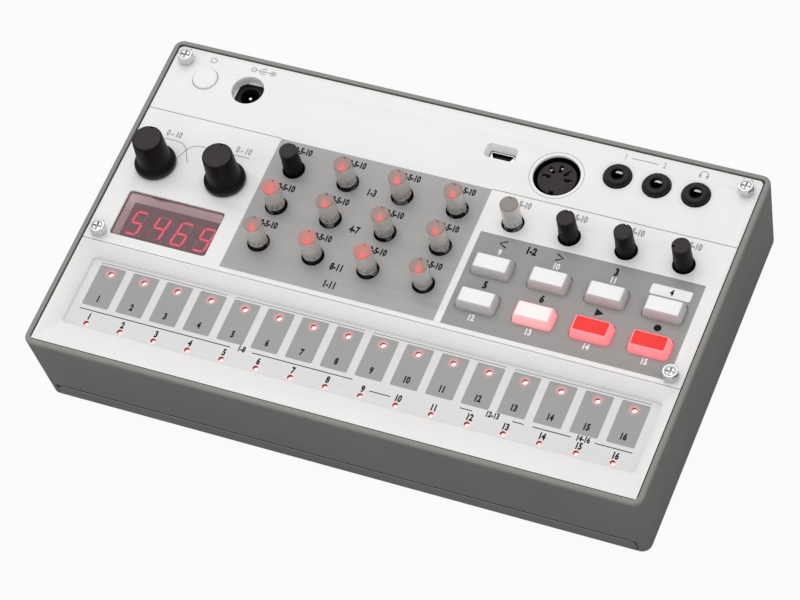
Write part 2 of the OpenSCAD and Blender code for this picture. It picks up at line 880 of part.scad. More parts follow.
module ribbon_cable() {
    top_z = key_board_z - key_board_t;
    low_z = board_z - board_t;
    bend_y = board_front - 2 * touch_gap;
    color(ribbon_white) translate([-ribbon_w / 2, 0, 0]) rotate([90, 0, 90]) linear_extrude(ribbon_w)
        polygon([
            [ribbon_start, top_z],
            [bend_y, top_z],
            [bend_y, low_z],
            [ribbon_end, low_z],
            [ribbon_end, low_z - ribbon_t],
            [bend_y - ribbon_t, low_z - ribbon_t],
            [bend_y - ribbon_t, top_z - ribbon_t],
            [ribbon_start, top_z - ribbon_t],
        ]);
}

module small_pots() {
    color(black) at_knobs() difference() {
        block(-pot_w / 2, pot_w / 2, -pot_d / 2, pot_d / 2, board_z, board_z + pot_h);
        rod(shaft_r + fit_gap, board_z - over, board_z + pot_h + over);
    }
}

module large_pots() {
    bush_top = under_z - large_bush_gap;
    color(metal) for (x = large_x) translate([x, large_y]) difference() {
        union() {
            block(-pot_w / 2, pot_w / 2, -pot_d / 2, pot_d / 2, board_z, board_z + pot_h);
            rod(large_shaft_r + large_bush_wall, board_z, bush_top);
        }
        rod(large_shaft_r + fit_gap, board_z + pot_h - shaft_seat - touch_gap, bush_top + over);
    }
}

module panel_lamps() {
    lit_keys = [for (i = [1:3]) [column_x(key_first_column + i), key_y(1)]];
    color(lamp_red) {
        for (k = small_knobs) if (k[3]) translate([column_x(k[1]), row_y(k[2])])
            block(-led_w / 2, led_w / 2, -led_w / 2, led_w / 2, board_z, board_z + led_h);
        for (p = lit_keys) translate(p)
            block(switch_w / 2 + touch_gap, switch_w / 2 + touch_gap + led_w, -led_w / 2, led_w / 2,
                board_z, board_z + led_h);
    }
}

module tact_switch() {
    block(-switch_w / 2, switch_w / 2, -switch_w / 2, switch_w / 2, board_z, board_z + switch_h);
    rod(actuator_r, board_z, switch_top);
}

module key_switches() {
    color(black) {
        at_keys() tact_switch();
        translate([power_x, power_y]) tact_switch();
    }
}

module key(name, column, row) {
    red = name == "play_key" || name == "record_key";
    color(red ? lamp_red : panel_white) translate([column_x(column), key_y(row)]) {
        hull() {
            round_block(key_w, key_d, key_corner_r, flange_top - eps, panel_z + key_straight);
            round_block(key_w - 2 * key_taper, key_d - 2 * key_taper, key_top_corner_r,
                panel_z + key_h - eps, panel_z + key_h);
        }
        round_block(key_w + 2 * flange_w, key_d + 2 * flange_w, key_corner_r + flange_w,
            flange_top - flange_t, flange_top);
        block(-stem_w / 2, stem_w / 2, -stem_w / 2, stem_w / 2, stem_z, flange_top);
    }
}

module power_button() {
    color(panel_white) translate([power_x, power_y]) {
        rotate_extrude() polygon([
            [0, flange_top - flange_t],
            [power_r + flange_w, flange_top - flange_t],
            [power_r + flange_w, flange_top],
            [power_r, flange_top],
            [power_r, panel_z + power_rise - power_bevel],
            [power_r - power_bevel, panel_z + power_rise],
            [0, panel_z + power_rise],
        ]);
        rod(actuator_r, stem_z, flange_top - flange_t + eps);
    }
}

module small_knob(k) {
    clear = k[3];
    pot_top = board_z + pot_h;
    foot_z = panel_z - knob_foot;
    ridge_z = foot_z + knob_foot + knob_ridge_h;
    top_z = panel_z + knob_h;
    color(clear ? clear_grey : black) translate([column_x(k[1]), row_y(k[2])]) difference() {
        union() {
            rod(shaft_r, pot_top - shaft_seat, foot_z + eps);
            rod(knob_r - knob_rim, pot_top + moving_gap, foot_z + eps);
            translate([0, 0, foot_z]) linear_extrude(ridge_z - foot_z) polygon([
                for (i = [0:2 * knob_ridges - 1])
                    let (a = 180 * i / knob_ridges, r = knob_r - (i % 2) * knob_ridge)
                    [r * cos(a), r * sin(a)]
            ]);
            rotate_extrude() polygon([
                [0, ridge_z - eps],
                [knob_r - knob_ridge / 2, ridge_z - eps],
                [knob_r - knob_top_taper, top_z - knob_rim],
                [knob_r - knob_top_taper - knob_rim, top_z],
                [0, top_z],
            ]);
        }
        rotate(-k[4])
            block(-slot_w / 2, slot_w / 2, slot_start_r, knob_r + over, top_z - slot_depth, top_z + over);
    }
}

module large_shaft(i) {
    color(metal) translate([large_x[i], large_y])
        rod(large_shaft_r, board_z + pot_h - shaft_seat, panel_z + large_h - large_cap_t);
}

module large_knob(i) {
    low = panel_z + large_skirt_gap;
    top_z = panel_z + large_h;
    color(black) translate([large_x[i], large_y]) difference() {
        rotate_extrude() polygon([
            [0, low],
            [skirt_r, low],
            [skirt_r, low + large_skirt_h],
            [skirt_r - large_rim, low + large_skirt_h + large_rim],
            [large_waist_r, panel_z + large_waist_h],
            [large_top_r, top_z - large_rim],
            [large_top_r - large_rim, top_z],
            [0, top_z],
        ]);
        rod(large_shaft_r + fit_gap / 2, low - over, top_z - large_cap_t);
        block(-slot_w / 2, slot_w / 2, large_slot_start_r, large_top_r + over,
            top_z - slot_depth, top_z + over);
    }
}

module display_window() {
    color(window_red) translate([window_x, window_y]) {
        round_block(window_w - 2 * touch_gap, window_d - 2 * touch_gap, window_corner_r,
            under_z - eps, panel_z - window_sink);
        round_block(window_w + 2 * window_flange, window_d + 2 * window_flange, window_corner_r,
            under_z - window_flange_t, under_z);
    }
}

module display_module() {
    color(black) translate([window_x, window_y])
        round_block(module_w, module_d, module_corner_r, board_z, board_z + module_h);
}

// A bar with pointed ends, lying along X
module bar(length) {
    polygon([
        [-length / 2, 0],
        [-length / 2 + stroke / 2, stroke / 2],
        [length / 2 - stroke / 2, stroke / 2],
        [length / 2, 0],
        [length / 2 - stroke / 2, -stroke / 2],
        [-length / 2 + stroke / 2, -stroke / 2],
    ]);
}

module digit() {
    across = digit_w - stroke;
    half = (digit_h - stroke) / 2;
    for (y = [-half, 0, half]) translate([0, y]) bar(across - segment_gap);
    for (x = [-across / 2, across / 2], y = [-half / 2, half / 2])
        translate([x, y]) rotate(90) bar(half - segment_gap);
    translate([digit_w / 2 + dot_shift, -half]) circle(r = dot_r);
}

module display_digits() {
    slant = tan(digit_slant);
    color(lamp_red) for (i = [0:digit_count - 1])
        translate([window_x + (i - (digit_count - 1) / 2) * digit_pitch, window_y, board_z + module_h])
            linear_extrude(segment_t)
                multmatrix([[1, slant, 0, 0], [0, 1, 0, 0], [0, 0, 1, 0], [0, 0, 0, 1]]) digit();
}

module dc_jack() {
    top = panel_z - dc_sink;
    color(black) translate([dc_x, dc_y]) difference() {
        union() {
            rod(dc_body_r, board_z, top);
            block(-dc_body_r, dc_body_r, 0, dc_body_r, board_z, top - dc_collar_wall);
        }
        rod(dc_bore_r, board_z + dc_floor, top + over);
    }
}

module dc_pin() {
    color(metal) translate([dc_x, dc_y])
        rod(dc_pin_r, board_z + dc_floor, panel_z - dc_sink - dc_collar_wall);
}

module usb_shell() {
    top = panel_z - usb_sink;
    color(metal) translate([usb_x, usb_y]) difference() {
        round_block(usb_w, usb_d, usb_corner_r, board_z, top);
        round_block(usb_w - 2 * usb_wall, usb_d - 2 * usb_wall, usb_corner_r / 2,
            board_z + usb_wall, top + over);
    }
}

module usb_tongue() {
    color(black) translate([usb_x, usb_y])
        round_block(usb_tongue_w, usb_tongue_t, usb_tongue_corner_r,
            board_z + usb_wall, panel_z - usb_sink - usb_tongue_sink);
}

module din_housing() {
    color(black) translate([din_x, din_y]) difference() {
        rod(din_r, board_z, panel_z - din_sink);
        rod(din_r - din_wall, board_z + din_base, panel_z);
    }
}

module din_insert() {
    top = panel_z - din_face_sink;
    color(black) translate([din_x, din_y]) difference() {
        rod(din_insert_r, board_z + din_base, top);
        for (turn = [-90:45:90]) rotate(turn) translate([0, din_pin_circle_r])
            rod(din_pin_r, top - din_pin_depth, top + over);
        block(-din_pin_r, din_pin_r, -din_insert_r - over, din_key_depth - din_insert_r,
            top - din_pin_depth, top + over);
    }
}

module mini_jacks() {
    shoulder = under_z - jack_shoulder;
    color(black) at_jacks() difference() {
        union() {
            block(-jack_w / 2, jack_w / 2, -jack_d / 2, jack_d / 2, board_z, shoulder);
            rod(bush_r, board_z, panel_z + jack_rise);
            rod(jack_collar_r, board_z, panel_z + jack_collar_rise);
        }
        rod(plug_bore_r, board_z + jack_floor, panel_z + jack_collar_rise + over);
        rod(contact_r, board_z + jack_floor - contact_t, board_z + jack_floor + eps);
    }
}

module jack_contacts() {
    color(contact_gold) at_jacks()
        rod(contact_r - fit_gap, board_z + jack_floor - contact_t, board_z + jack_floor);
}

lower_case();
rubber_feet();
control_panel();
keyboard_frame();
touch_strip();
panel_screws();
display_window();
display_module();
display_digits();
dc_jack();
dc_pin();
usb_shell();
usb_tongue();
din_housing();
din_insert();
mini_jacks();
jack_contacts();
control_board();
keyboard_board();
small_pots();
large_pots();
panel_lamps();
strip_lamps();
key_switches();
battery_springs();
battery_contacts();
frame_screws();
board_screws();
ribbon_cable();
battery_cover();
power_button();
for (i = [0:1]) {
    large_shaft(i);
    large_knob(i);
}
for (k = small_knobs) small_knob(k);
for (j = [0:1], i = [0:3])
    key(key_rows[j][i], key_first_column + i, j);
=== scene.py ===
"""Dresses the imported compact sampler: fine shapes, finishes, print and lamps, and a studio around it."""

import math

import bmesh
import bpy
from bpy.props import FloatProperty, FloatVectorProperty, PointerProperty
from mathutils import Matrix, Vector


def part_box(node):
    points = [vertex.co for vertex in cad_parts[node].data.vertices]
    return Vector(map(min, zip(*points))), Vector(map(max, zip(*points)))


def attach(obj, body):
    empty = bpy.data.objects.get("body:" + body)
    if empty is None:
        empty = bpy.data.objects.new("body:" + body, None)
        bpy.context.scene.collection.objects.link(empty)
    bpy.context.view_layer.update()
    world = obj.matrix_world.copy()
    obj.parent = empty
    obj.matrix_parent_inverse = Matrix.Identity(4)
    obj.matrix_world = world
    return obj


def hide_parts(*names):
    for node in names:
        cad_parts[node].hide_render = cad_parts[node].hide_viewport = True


bl_info = {
    "name": "Compact sampler",
    "version": (1, 0, 0),
    "blender": (4, 5, 0),
    "location": "View3D > Sidebar > Sampler",
    "description": "Builds the visible pieces of a compact sampler over its packed solids",
    "category": "Object",
}

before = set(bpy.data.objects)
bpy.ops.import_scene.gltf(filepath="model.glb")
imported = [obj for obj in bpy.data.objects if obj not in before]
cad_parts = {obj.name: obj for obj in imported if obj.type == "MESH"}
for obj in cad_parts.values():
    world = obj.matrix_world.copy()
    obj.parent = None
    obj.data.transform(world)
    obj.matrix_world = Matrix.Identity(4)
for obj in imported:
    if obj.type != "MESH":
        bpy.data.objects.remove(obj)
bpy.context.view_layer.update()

# Shapes are drawn in millimetres and scaled once, when a piece is finished
MM = 0.001


def middle(node):
    """Centre of a node's box seen from above, in millimetres."""
    low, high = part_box(node)
    return (low.x + high.x) / 2 / MM, (low.y + high.y) / 2 / MM


def top(node):
    """Height of a node's highest point, in millimetres."""
    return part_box(node)[1].z / MM


# Planes of the object
PANEL_Z = top("control_panel")
STRIP_Z = top("touch_strip")
PANEL_T = 2.0
UNDER_Z = PANEL_Z - PANEL_T
BOARD_Z = top("control_board")

# Control panel, and the left, right, front and back of the two fields printed on it
PANEL_X = 94.5
PANEL_FRONT, PANEL_BACK = -18.1, 55.5
PANEL_CORNER = 1.65
KNOB_FIELD = (-50.0, 18.4, -16.6, 31.2)
KEY_FIELD = (20.5, 90.0, -16.6, 16.5)
STANDOFFS = [(x, y) for x in (-44.54, 17.83, 72.59) for y in (-13.75, 33.68)]
STANDOFF_R = 2.2

# Radii of the round holes through the panel, size and corner of the others, and the gap around a key
KNOB_HOLE_R, SHAFT_HOLE_R, SCREW_HOLE_R = 3.4, 3.6, 1.75
JACK_HOLE_R, POWER_HOLE_R, DC_HOLE_R, DIN_HOLE_R = 4.4, 4.05, 5.05, 8.3
USB_HOLE = (9.8, 4.9, 1.225)
WINDOW_HOLE = (31.6, 16.1, 1.0)
KEY_GAP = 0.3

# Knobs: the clear ones are lit, apart from the last
LIT_KNOBS = (
    "start_knob", "length_knob", "hi_cut_knob", "speed_knob", "pitch_amount_knob", "pitch_attack_knob",
    "pitch_decay_knob", "level_knob", "pan_knob", "amp_attack_knob", "amp_decay_knob",
)
UNLIT_KNOBS = ("tempo_knob",)
BLACK_KNOBS = ("sample_knob", "swing_knob", "reverb_knob", "volume_knob")
SMALL_KNOBS = LIT_KNOBS + UNLIT_KNOBS + BLACK_KNOBS
KNOB_TURNS = {"volume_knob": 113}
KNOB_R = 2.78
KNOB_PEAK = PANEL_Z + 9.9
LARGE_KNOBS = ("bass", "treble")

# Way that the painted wedge of the lamp's light in a clear knob runs from its axis, and the knobs that it
# fills most
GLOW_WAY = Vector((0.37, -0.93))
BRIGHT_KNOBS = ("speed_knob", "pan_knob", "amp_attack_knob")

# Crossing curves printed between the large knobs
FALLING_CURVE = (
    (-87.0, 21.7), (-80.6, 21.7), (-79.3, 21.5), (-78.2, 21.0), (-77.4, 20.4), (-76.9, 19.7), (-74.5, 15.1))
RISING_CURVE = (
    (-78.3, 15.7), (-76.8, 19.3), (-76.2, 20.2), (-75.3, 21.0), (-74.0, 21.6), (-72.4, 21.8), (-56.6, 21.7))

# Keys, from the left, in the back row and the front row
BACK_KEYS = ("part_down_key", "part_up_key", "mute_key", "function_key")
FRONT_KEYS = ("memory_key", "step_key", "play_key", "record_key")
RED_KEYS = ("play_key", "record_key")
KEY_W, KEY_D, KEY_R = 12.0, 6.6, 1.2

# Heights of the flange that holds a key or the power button down, and of its stem's foot
FLANGE_LOW, FLANGE_TOP, STEM_LOW = 28.75, 29.45, 24.9

# Touch strip
STRIP_X, STRIP_FRONT, STRIP_BACK = 91.3, -46.8, -20.2
STEPS = 16
STEP_PITCH = 11.04
LAMPS_X = [(i - (STEPS - 1) / 2) * STEP_PITCH for i in range(STEPS)]
STEP_LAMP_Y = -25.7
PART_LAMP_Y = -43.65
LAMP_HOLE_R = 0.85
PAD_W = 8.5
PAD_FRONT, PAD_BACK = -37.64, -23.36

# Lines under the pads, a dash between two numbers, and the numbers that the lines stand for
UNDERLINES = ((-87.0, -37.6), (-30.6, 1.4), (34.8, 38.6), (50.9, 54.4), (57.0, 68.6), (75.8, 87.0))
DASH = (7.6, 14.2)
STRIP_RANGES = (("1-8", -34.1), ("12-13", 44.7), ("14-16", 72.2))
FIELD_RANGES = (
    ("1-3", (-15.9, 20.1)), ("4-7", (-15.9, 6.4)), ("8-11", (-15.9, -7.4)), ("1-11", (-15.7, -13.6)))

# Sockets, display and screws
JACKS = [(x, 45.6) for x in (52.5, 64.65, 76.8)]
DIN = middle("din_housing")
DC = middle("dc_pin")
USB = middle("usb_shell")
POWER = middle("power_button")
WINDOW = middle("display_window")
SCREWS_X, SCREWS_BACK, SCREWS_FRONT = 90.45, 50.9, -15.0

# Thickness of print, line of the signs behind the sockets, and height of a figure in the built-in type
INK = 0.02
SIGNS_Y = 52.9
FIGURE_SHARE = 0.7

# The lit bars of each digit, by their usual letters, and the digits that the display shows
SEGMENTS = {"5": "afgcd", "4": "fgbc", "6": "afgecd", "9": "abcdfg"}
SHOWN = "5469"

# Camera of the photograph, in metres
CAMERA_AT = (0.32980, -0.47641, 0.85617)
CAMERA_RIGHT = (0.91703, 0.36858, -0.15234)
CAMERA_UP = (-0.2333, 0.8056, 0.5446)
CAMERA_FORWARD = (-0.32345, 0.46386, -0.82475)
LENS = 155.51

# Studio: name, place, size and power of each lamp, strength of the white sky, half the floor's width
LIGHTS = (
    ("overhead_light", (-0.25, 0.35, 0.95), 0.9, 3.0),
    ("front_light", (0.05, -0.95, 0.6), 0.9, 0.6),
)
SKY = 0.78
FLOOR_REACH = 6


# Settings a user would change


def colour_setting(name, description, default):
    return FloatVectorProperty(
        name=name, description=description, default=default, size=3, min=0.0, max=1.0, subtype="COLOR_GAMMA")


def length_setting(name, description, default):
    return FloatProperty(
        name=name, description=description, default=default, min=0.0, max=0.005, precision=5,
        subtype="DISTANCE", unit="LENGTH")


class SamplerColours(bpy.types.PropertyGroup):
    """Colours of the sampler's finishes, as they look on a display."""

    case: colour_setting("Case", "Grey of the case and the battery cover", (0.486, 0.477, 0.468))
    panel: colour_setting("Panel", "White of the control panel and keyboard frame", (0.93, 0.927, 0.923))
    field: colour_setting("Field", "Grey printed under the knobs and keys", (0.65, 0.645, 0.64))
    strip: colour_setting("Touch strip", "Pale grey of the touch strip", (0.86, 0.855, 0.855))
    pad: colour_setting("Pads", "Grey of the touch pads", (0.60, 0.598, 0.595))
    knob: colour_setting("Black knobs", "Near black of the plain knobs", (0.07, 0.062, 0.058))
    clear: colour_setting("Clear knobs", "Tint of the clear knobs", (0.91, 0.895, 0.88))
    key: colour_setting("Keys", "White of the key tops", (0.95, 0.95, 0.95))
    red: colour_setting("Red keys", "Red of the play and record keys", (0.92, 0.13, 0.10))
    lamp: colour_setting("Lamps", "Red of the lamps' light", (1.0, 0.36, 0.41))
    window: colour_setting("Window", "Tint of the display window", (0.38, 0.04, 0.14))
    ink: colour_setting("Ink", "Black of the printed marks", (0.11, 0.105, 0.1))


class SamplerSizes(bpy.types.PropertyGroup):
    """Small sizes of the sampler's visible pieces."""

    panel_edge: length_setting("Panel edge", "Rounding along the panel's edges and holes", 0.00014)
    frame_edge: length_setting("Frame edge", "Rounding along the keyboard frame's edges", 0.0003)
    knob_edge: length_setting("Knob edge", "Rounding along the knobs' rims", 0.00035)
    ring_edge: length_setting("Socket edge", "Rounding along the sockets' rims", 0.00045)
    line: length_setting("Line", "Width of the thin printed lines", 0.00028)


def size_of(name):
    return getattr(bpy.context.scene.sampler_sizes, name) / MM


def shaded(colour, share):
    return [min(1.0, c * share) for c in colour]


def light(colour, share=1.0):
    """A display colour, or the setting of that name, as linear light."""
    if isinstance(colour, str):
        colour = getattr(bpy.context.scene.sampler_colours, colour)
    return shaded([c / 12.92 if c <= 0.04045 else ((c + 0.055) / 1.055) ** 2.4 for c in colour], share)


# Outlines


def ring(radius, steps=48, at=(0.0, 0.0), start=0.0, sweep=360.0):
    """Points along a circle or an arc; a whole circle leaves out its last point."""
    count = steps if sweep >= 360.0 else steps + 1
    turns = [math.radians(start + sweep * i / steps) for i in range(count)]
    return [(at[0] + radius * math.cos(turn), at[1] + radius * math.sin(turn)) for turn in turns]


def rounded(width, depth, radius, at=(0.0, 0.0), steps=5):
    """A rectangle with rounded corners."""
    points = []
    for sx, sy, start in ((1, 1, 0), (-1, 1, 90), (-1, -1, 180), (1, -1, 270)):
        corner = (at[0] + sx * (width / 2 - radius), at[1] + sy * (depth / 2 - radius))
        points += ring(radius, steps, corner, start, 90.0)
    return points


def square(x0, y0, x1, y1):
    return [(x0, y0), (x1, y0), (x1, y1), (x0, y1)]


def lifted(points, z):
    return [(x, y, z) for x, y in points]


def eased(corners, steps):
    """A profile of (radius, height) corners, some with a rounding after these, as plain points."""
    points = []
    for i, (r, z, *ease) in enumerate(corners):
        if not ease:
            points.append((r, z))
            continue
        here = Vector((r, z))
        before = here + (Vector(corners[i - 1][:2]) - here).normalized() * ease[0]
        after = here + (Vector(corners[(i + 1) % len(corners)][:2]) - here).normalized() * ease[0]
        for k in range(steps + 1):
            t = k / steps
            points.append(tuple(before * (1 - t) ** 2 + here * 2 * t * (1 - t) + after * t ** 2))
    return points


# Meshes


def evaluated(item):
    """A plain mesh of an object with its modifiers or curve applied."""
    bpy.context.scene.collection.objects.link(item)
    bpy.context.view_layer.update()
    mesh = bpy.data.meshes.new_from_object(item.evaluated_get(bpy.context.evaluated_depsgraph_get()))
    bpy.data.objects.remove(item)
    return mesh


def upright(face):
    return abs(face.normal.z) < 0.3


class Mould:
    """A mesh under way, in millimetres, with the name of a finish for every face."""

    def __init__(self):
        self.bm = bmesh.new()
        self.finishes = []

    def slot(self, finish):
        if finish not in self.finishes:
            self.finishes.append(finish)
        return self.finishes.index(finish)

    def add(self, points, faces, finish):
        slot = self.slot(finish)
        corners = [self.bm.verts.new(point) for point in points]
        for face in faces:
            self.bm.faces.new([corners[i] for i in face]).material_index = slot

    def take(self, mesh, finish):
        """Adds a mesh and drops it."""
        slot = self.slot(finish)
        before = len(self.bm.faces)
        self.bm.from_mesh(mesh)
        self.bm.faces.ensure_lookup_table()
        for face in self.bm.faces[before:]:
            face.material_index = slot
        bpy.data.meshes.remove(mesh)

    def plate(self, outlines, low, high, finish, edge=0.0):
        """A flat solid from an outline and the outlines of its holes, with rounded edges."""
        curve = bpy.data.curves.new("outline", "CURVE")
        curve.dimensions = "2D"
        curve.fill_mode = "BOTH"
        curve.extrude = (high - low) / 2 - edge
        curve.bevel_depth = edge
        curve.bevel_resolution = 1
        curve.offset = -edge
        for points in outlines:
            spline = curve.splines.new("POLY")
            spline.points.add(len(points) - 1)
            spline.use_cyclic_u = True
            for point, (x, y) in zip(spline.points, points):
                point.co = (x, y, 0.0, 1.0)
        mesh = evaluated(bpy.data.objects.new("outline", curve))
        bpy.data.curves.remove(curve)
        mesh.transform(Matrix.Translation((0.0, 0.0, (low + high) / 2)))
        self.take(mesh, finish)

    def number(self, text, height, at, low, finish, width=0.7, bold=0.15):
        """A number in the plain built-in type, as a thin solid centred on a point."""
        curve = bpy.data.curves.new("numeral", "FONT")
        curve.body = text
        curve.size = height / FIGURE_SHARE
        curve.align_x = "CENTER"
        curve.align_y = "CENTER"
        curve.extrude = INK / 2
        curve.offset = bold
        curve.resolution_u = 3
        mesh = evaluated(bpy.data.objects.new("numeral", curve))
        bpy.data.curves.remove(curve)
        mesh.transform(
            Matrix.Translation((at[0], at[1], low + INK / 2)) @ Matrix.Diagonal((width, 1.0, 1.0, 1.0)))
        self.take(mesh, finish)

    def turn(self, profile, finish, at=(0.0, 0.0), steps=48, loop=False, easing=4):
        """Turns a profile, with its rounded corners in so many steps, about an upright axis."""
        points, rows = [], []
        for r, z in eased(profile, easing):
            if r < 1e-6:
                rows.append([len(points)] * steps)
                points.append((at[0], at[1], z))
            else:
                rows.append(list(range(len(points), len(points) + steps)))
                points += lifted(ring(r, steps, at), z)
        faces = []
        pairs = list(zip(rows, rows[1:])) + ([(rows[-1], rows[0])] if loop else [])
        for low, high in pairs:
            for j in range(steps):
                k = (j + 1) % steps
                corners = list(dict.fromkeys((low[j], low[k], high[k], high[j])))
                if len(corners) > 2:
                    faces.append(corners)
        self.add(points, faces, finish)

    def loft(self, rings, finish, closed=False):
        """Joins outlines of equal count, with a cap at both ends unless the last meets the first."""
        n = len(rings[0])
        points = [point for outline in rings for point in outline]
        faces = []
        for i in range(len(rings) if closed else len(rings) - 1):
            a, b = i * n, (i + 1) % len(rings) * n
            faces += [(a + j, a + (j + 1) % n, b + (j + 1) % n, b + j) for j in range(n)]
        if not closed:
            faces += [tuple(reversed(range(n))), tuple(range(len(points) - n, len(points)))]
        self.add(points, faces, finish)

    def stack(self, levels, finish, closed=False):
        """Joins flat outlines, each with its height."""
        self.loft([lifted(points, z) for points, z in levels], finish, closed)

    def prism(self, points, low, high, finish):
        self.stack([(points, low), (points, high)], finish)

    def mark(self, points, low, finish):
        """A thin printed shape."""
        self.prism(points, low, low + INK, finish)

    def stroke(self, points, width, low, finish, closed=False):
        """A thin printed line along a path."""
        rings = []
        for i, here in enumerate(points):
            before = points[i - 1] if i or closed else here
            after = points[(i + 1) % len(points)] if i + 1 < len(points) or closed else here
            along = (Vector(after) - Vector(before)).normalized()
            side = Vector((-along.y, along.x)) * width / 2
            left, right = Vector(here) + side, Vector(here) - side
            rings.append([(*right, low), (*left, low), (*left, low + INK), (*right, low + INK)])
        self.loft(rings, finish, closed)

    def combine(self, other, operation):
        """Joins this solid with another mesh, or cuts that away, and drops it."""
        body = bpy.data.meshes.new("body")
        self.bm.to_mesh(body)
        helper = bpy.data.objects.new("other", other)
        bpy.context.scene.collection.objects.link(helper)
        item = bpy.data.objects.new("body", body)
        modifier = item.modifiers.new("Combine", "BOOLEAN")
        modifier.operation = operation
        modifier.solver = "EXACT"
        modifier.object = helper
        result = evaluated(item)
        self.bm.clear()
        self.bm.from_mesh(result)
        bpy.data.objects.remove(helper)
        for mesh in (body, other, result):
            bpy.data.meshes.remove(mesh)

    def cut(self, low, high):
        """Cuts an upright box away."""
        knife = Mould()
        knife.prism(square(*low[:2], *high[:2]), low[2], high[2], None)
        blade = bpy.data.meshes.new("blade")
        knife.bm.to_mesh(blade)
        self.combine(blade, "DIFFERENCE")

    def ease(self, width, chosen):
        """Rounds the chosen sharp edges."""
        sharp = [
            edge for edge in self.bm.edges
            if len(edge.link_faces) == 2 and edge.calc_face_angle(0.0) > math.radians(18) and chosen(edge)]
        bmesh.ops.bevel(
            self.bm, geom=sharp, offset=width, segments=2, profile=0.5, affect="EDGES", clamp_overlap=False)

    def repaint(self, finish, chosen):
        """Gives the chosen faces another finish."""
        slot = self.slot(finish)
        for face in self.bm.faces:
            if chosen(face):
                face.material_index = slot

    def weld(self):
        bmesh.ops.remove_doubles(self.bm, verts=self.bm.verts, dist=0.002)

    def outward(self):
        """Merges double points and turns every face outwards."""
        self.weld()
        bmesh.ops.recalc_face_normals(self.bm, faces=self.bm.faces)

    def mesh(self, name):
        mesh = bpy.data.meshes.new(name)
        self.bm.to_mesh(mesh)
        for finish in self.finishes:
            mesh.materials.append(finish_of(finish))
        return mesh

    def piece(self, name, body, *nodes, smooth=35.0, slot=None):
        self.outward()
        finished(self.mesh(name), name, body, *nodes, smooth=smooth, slot=slot)


def finished(mesh, name, body, *nodes, smooth=35.0, slot=None):
    """Makes a mesh in millimetres a piece of the object, in metres, on its body."""
    mesh.name = name
    mesh.transform(Matrix.Scale(MM, 4))
    mesh.shade_smooth()
    mesh.set_sharp_from_angle(angle=math.radians(smooth))
    item = bpy.data.objects.new(name, mesh)
    bpy.context.scene.collection.objects.link(item)
    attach(item, body)
    if nodes:
        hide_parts(*nodes)


def dressed(name, body, node, finish, slot, edge=0.0, chosen=lambda edge: True, smooth=35.0):
    """Makes a piece in a node's own shape, with the chosen edges rounded."""
    mould = Mould()
    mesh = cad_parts[node].data.copy()
    mesh.transform(Matrix.Scale(1 / MM, 4))
    mould.take(mesh, finish)
    mould.weld()
    bmesh.ops.dissolve_limit(
        mould.bm, angle_limit=math.radians(0.5), verts=mould.bm.verts, edges=mould.bm.edges)
    if edge:
        mould.ease(edge, chosen)
    finished(mould.mesh(name), name, body, node, smooth=smooth, slot=slot)


def paint(node, finish):
    """Gives a node that keeps its own shape a finish."""
    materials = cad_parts[node].data.materials
    materials.clear()
    materials.append(finish_of(finish))


# Geometry Nodes trees for what repeats


def link(tree, *wires):
    """Links nodes, each wire given as a node, its output, the next node and its input."""
    for source, output, target, title in wires:
        tree.links.new(source.outputs[output], target.inputs[title])


def nodes_tree(name, **inputs):
    """A tree with its group nodes, a Realize Instances and a Set Material at its end."""
    tree = bpy.data.node_groups.new(name, "GeometryNodeTree")
    for title, kind in {"Geometry": "Geometry", **inputs, "Finish": "Material"}.items():
        tree.interface.new_socket(title, in_out="INPUT", socket_type="NodeSocket" + kind)
    tree.interface.new_socket("Geometry", in_out="OUTPUT", socket_type="NodeSocketGeometry")
    start, end, instances, realize, finish = (tree.nodes.new(kind) for kind in (
        "NodeGroupInput", "NodeGroupOutput", "GeometryNodeInstanceOnPoints", "GeometryNodeRealizeInstances",
        "GeometryNodeSetMaterial"))
    link(
        tree, (start, "Geometry", instances, "Instance"), (instances, "Instances", realize, "Geometry"),
        (realize, "Geometry", finish, "Geometry"), (start, "Finish", finish, "Material"),
        (finish, "Geometry", end, "Geometry"))
    return tree, start, instances


def row_tree(name):
    """Copies a shape along X, centred on the middle."""
    tree, start, instances = nodes_tree(name, Count="Int", Pitch="Float")
    line = tree.nodes.new("GeometryNodeMeshLine")
    step, first = (tree.nodes.new("ShaderNodeCombineXYZ") for _ in range(2))
    spans, reach, back = (tree.nodes.new("ShaderNodeMath") for _ in range(3))
    spans.operation = "SUBTRACT"
    spans.inputs[1].default_value = 1.0
    reach.operation = "MULTIPLY"
    back.operation = "MULTIPLY"
    back.inputs[1].default_value = -0.5
    link(
        tree, (start, "Count", line, "Count"), (start, "Pitch", step, "X"), (step, "Vector", line, "Offset"),
        (start, "Count", spans, 0), (spans, "Value", reach, 0), (start, "Pitch", reach, 1),
        (reach, "Value", back, 0), (back, "Value", first, "X"), (first, "Vector", line, "Start Location"),
        (line, "Mesh", instances, "Points"))
    return tree


def corner_tree(name):
    """Copies a shape to the corners of a rectangle."""
    tree, start, instances = nodes_tree(name, Width="Float", Depth="Float")
    grid = tree.nodes.new("GeometryNodeMeshGrid")
    grid.inputs["Vertices X"].default_value = 2
    grid.inputs["Vertices Y"].default_value = 2
    link(
        tree, (start, "Width", grid, "Size X"), (start, "Depth", grid, "Size Y"),
        (grid, "Mesh", instances, "Points"))
    return tree


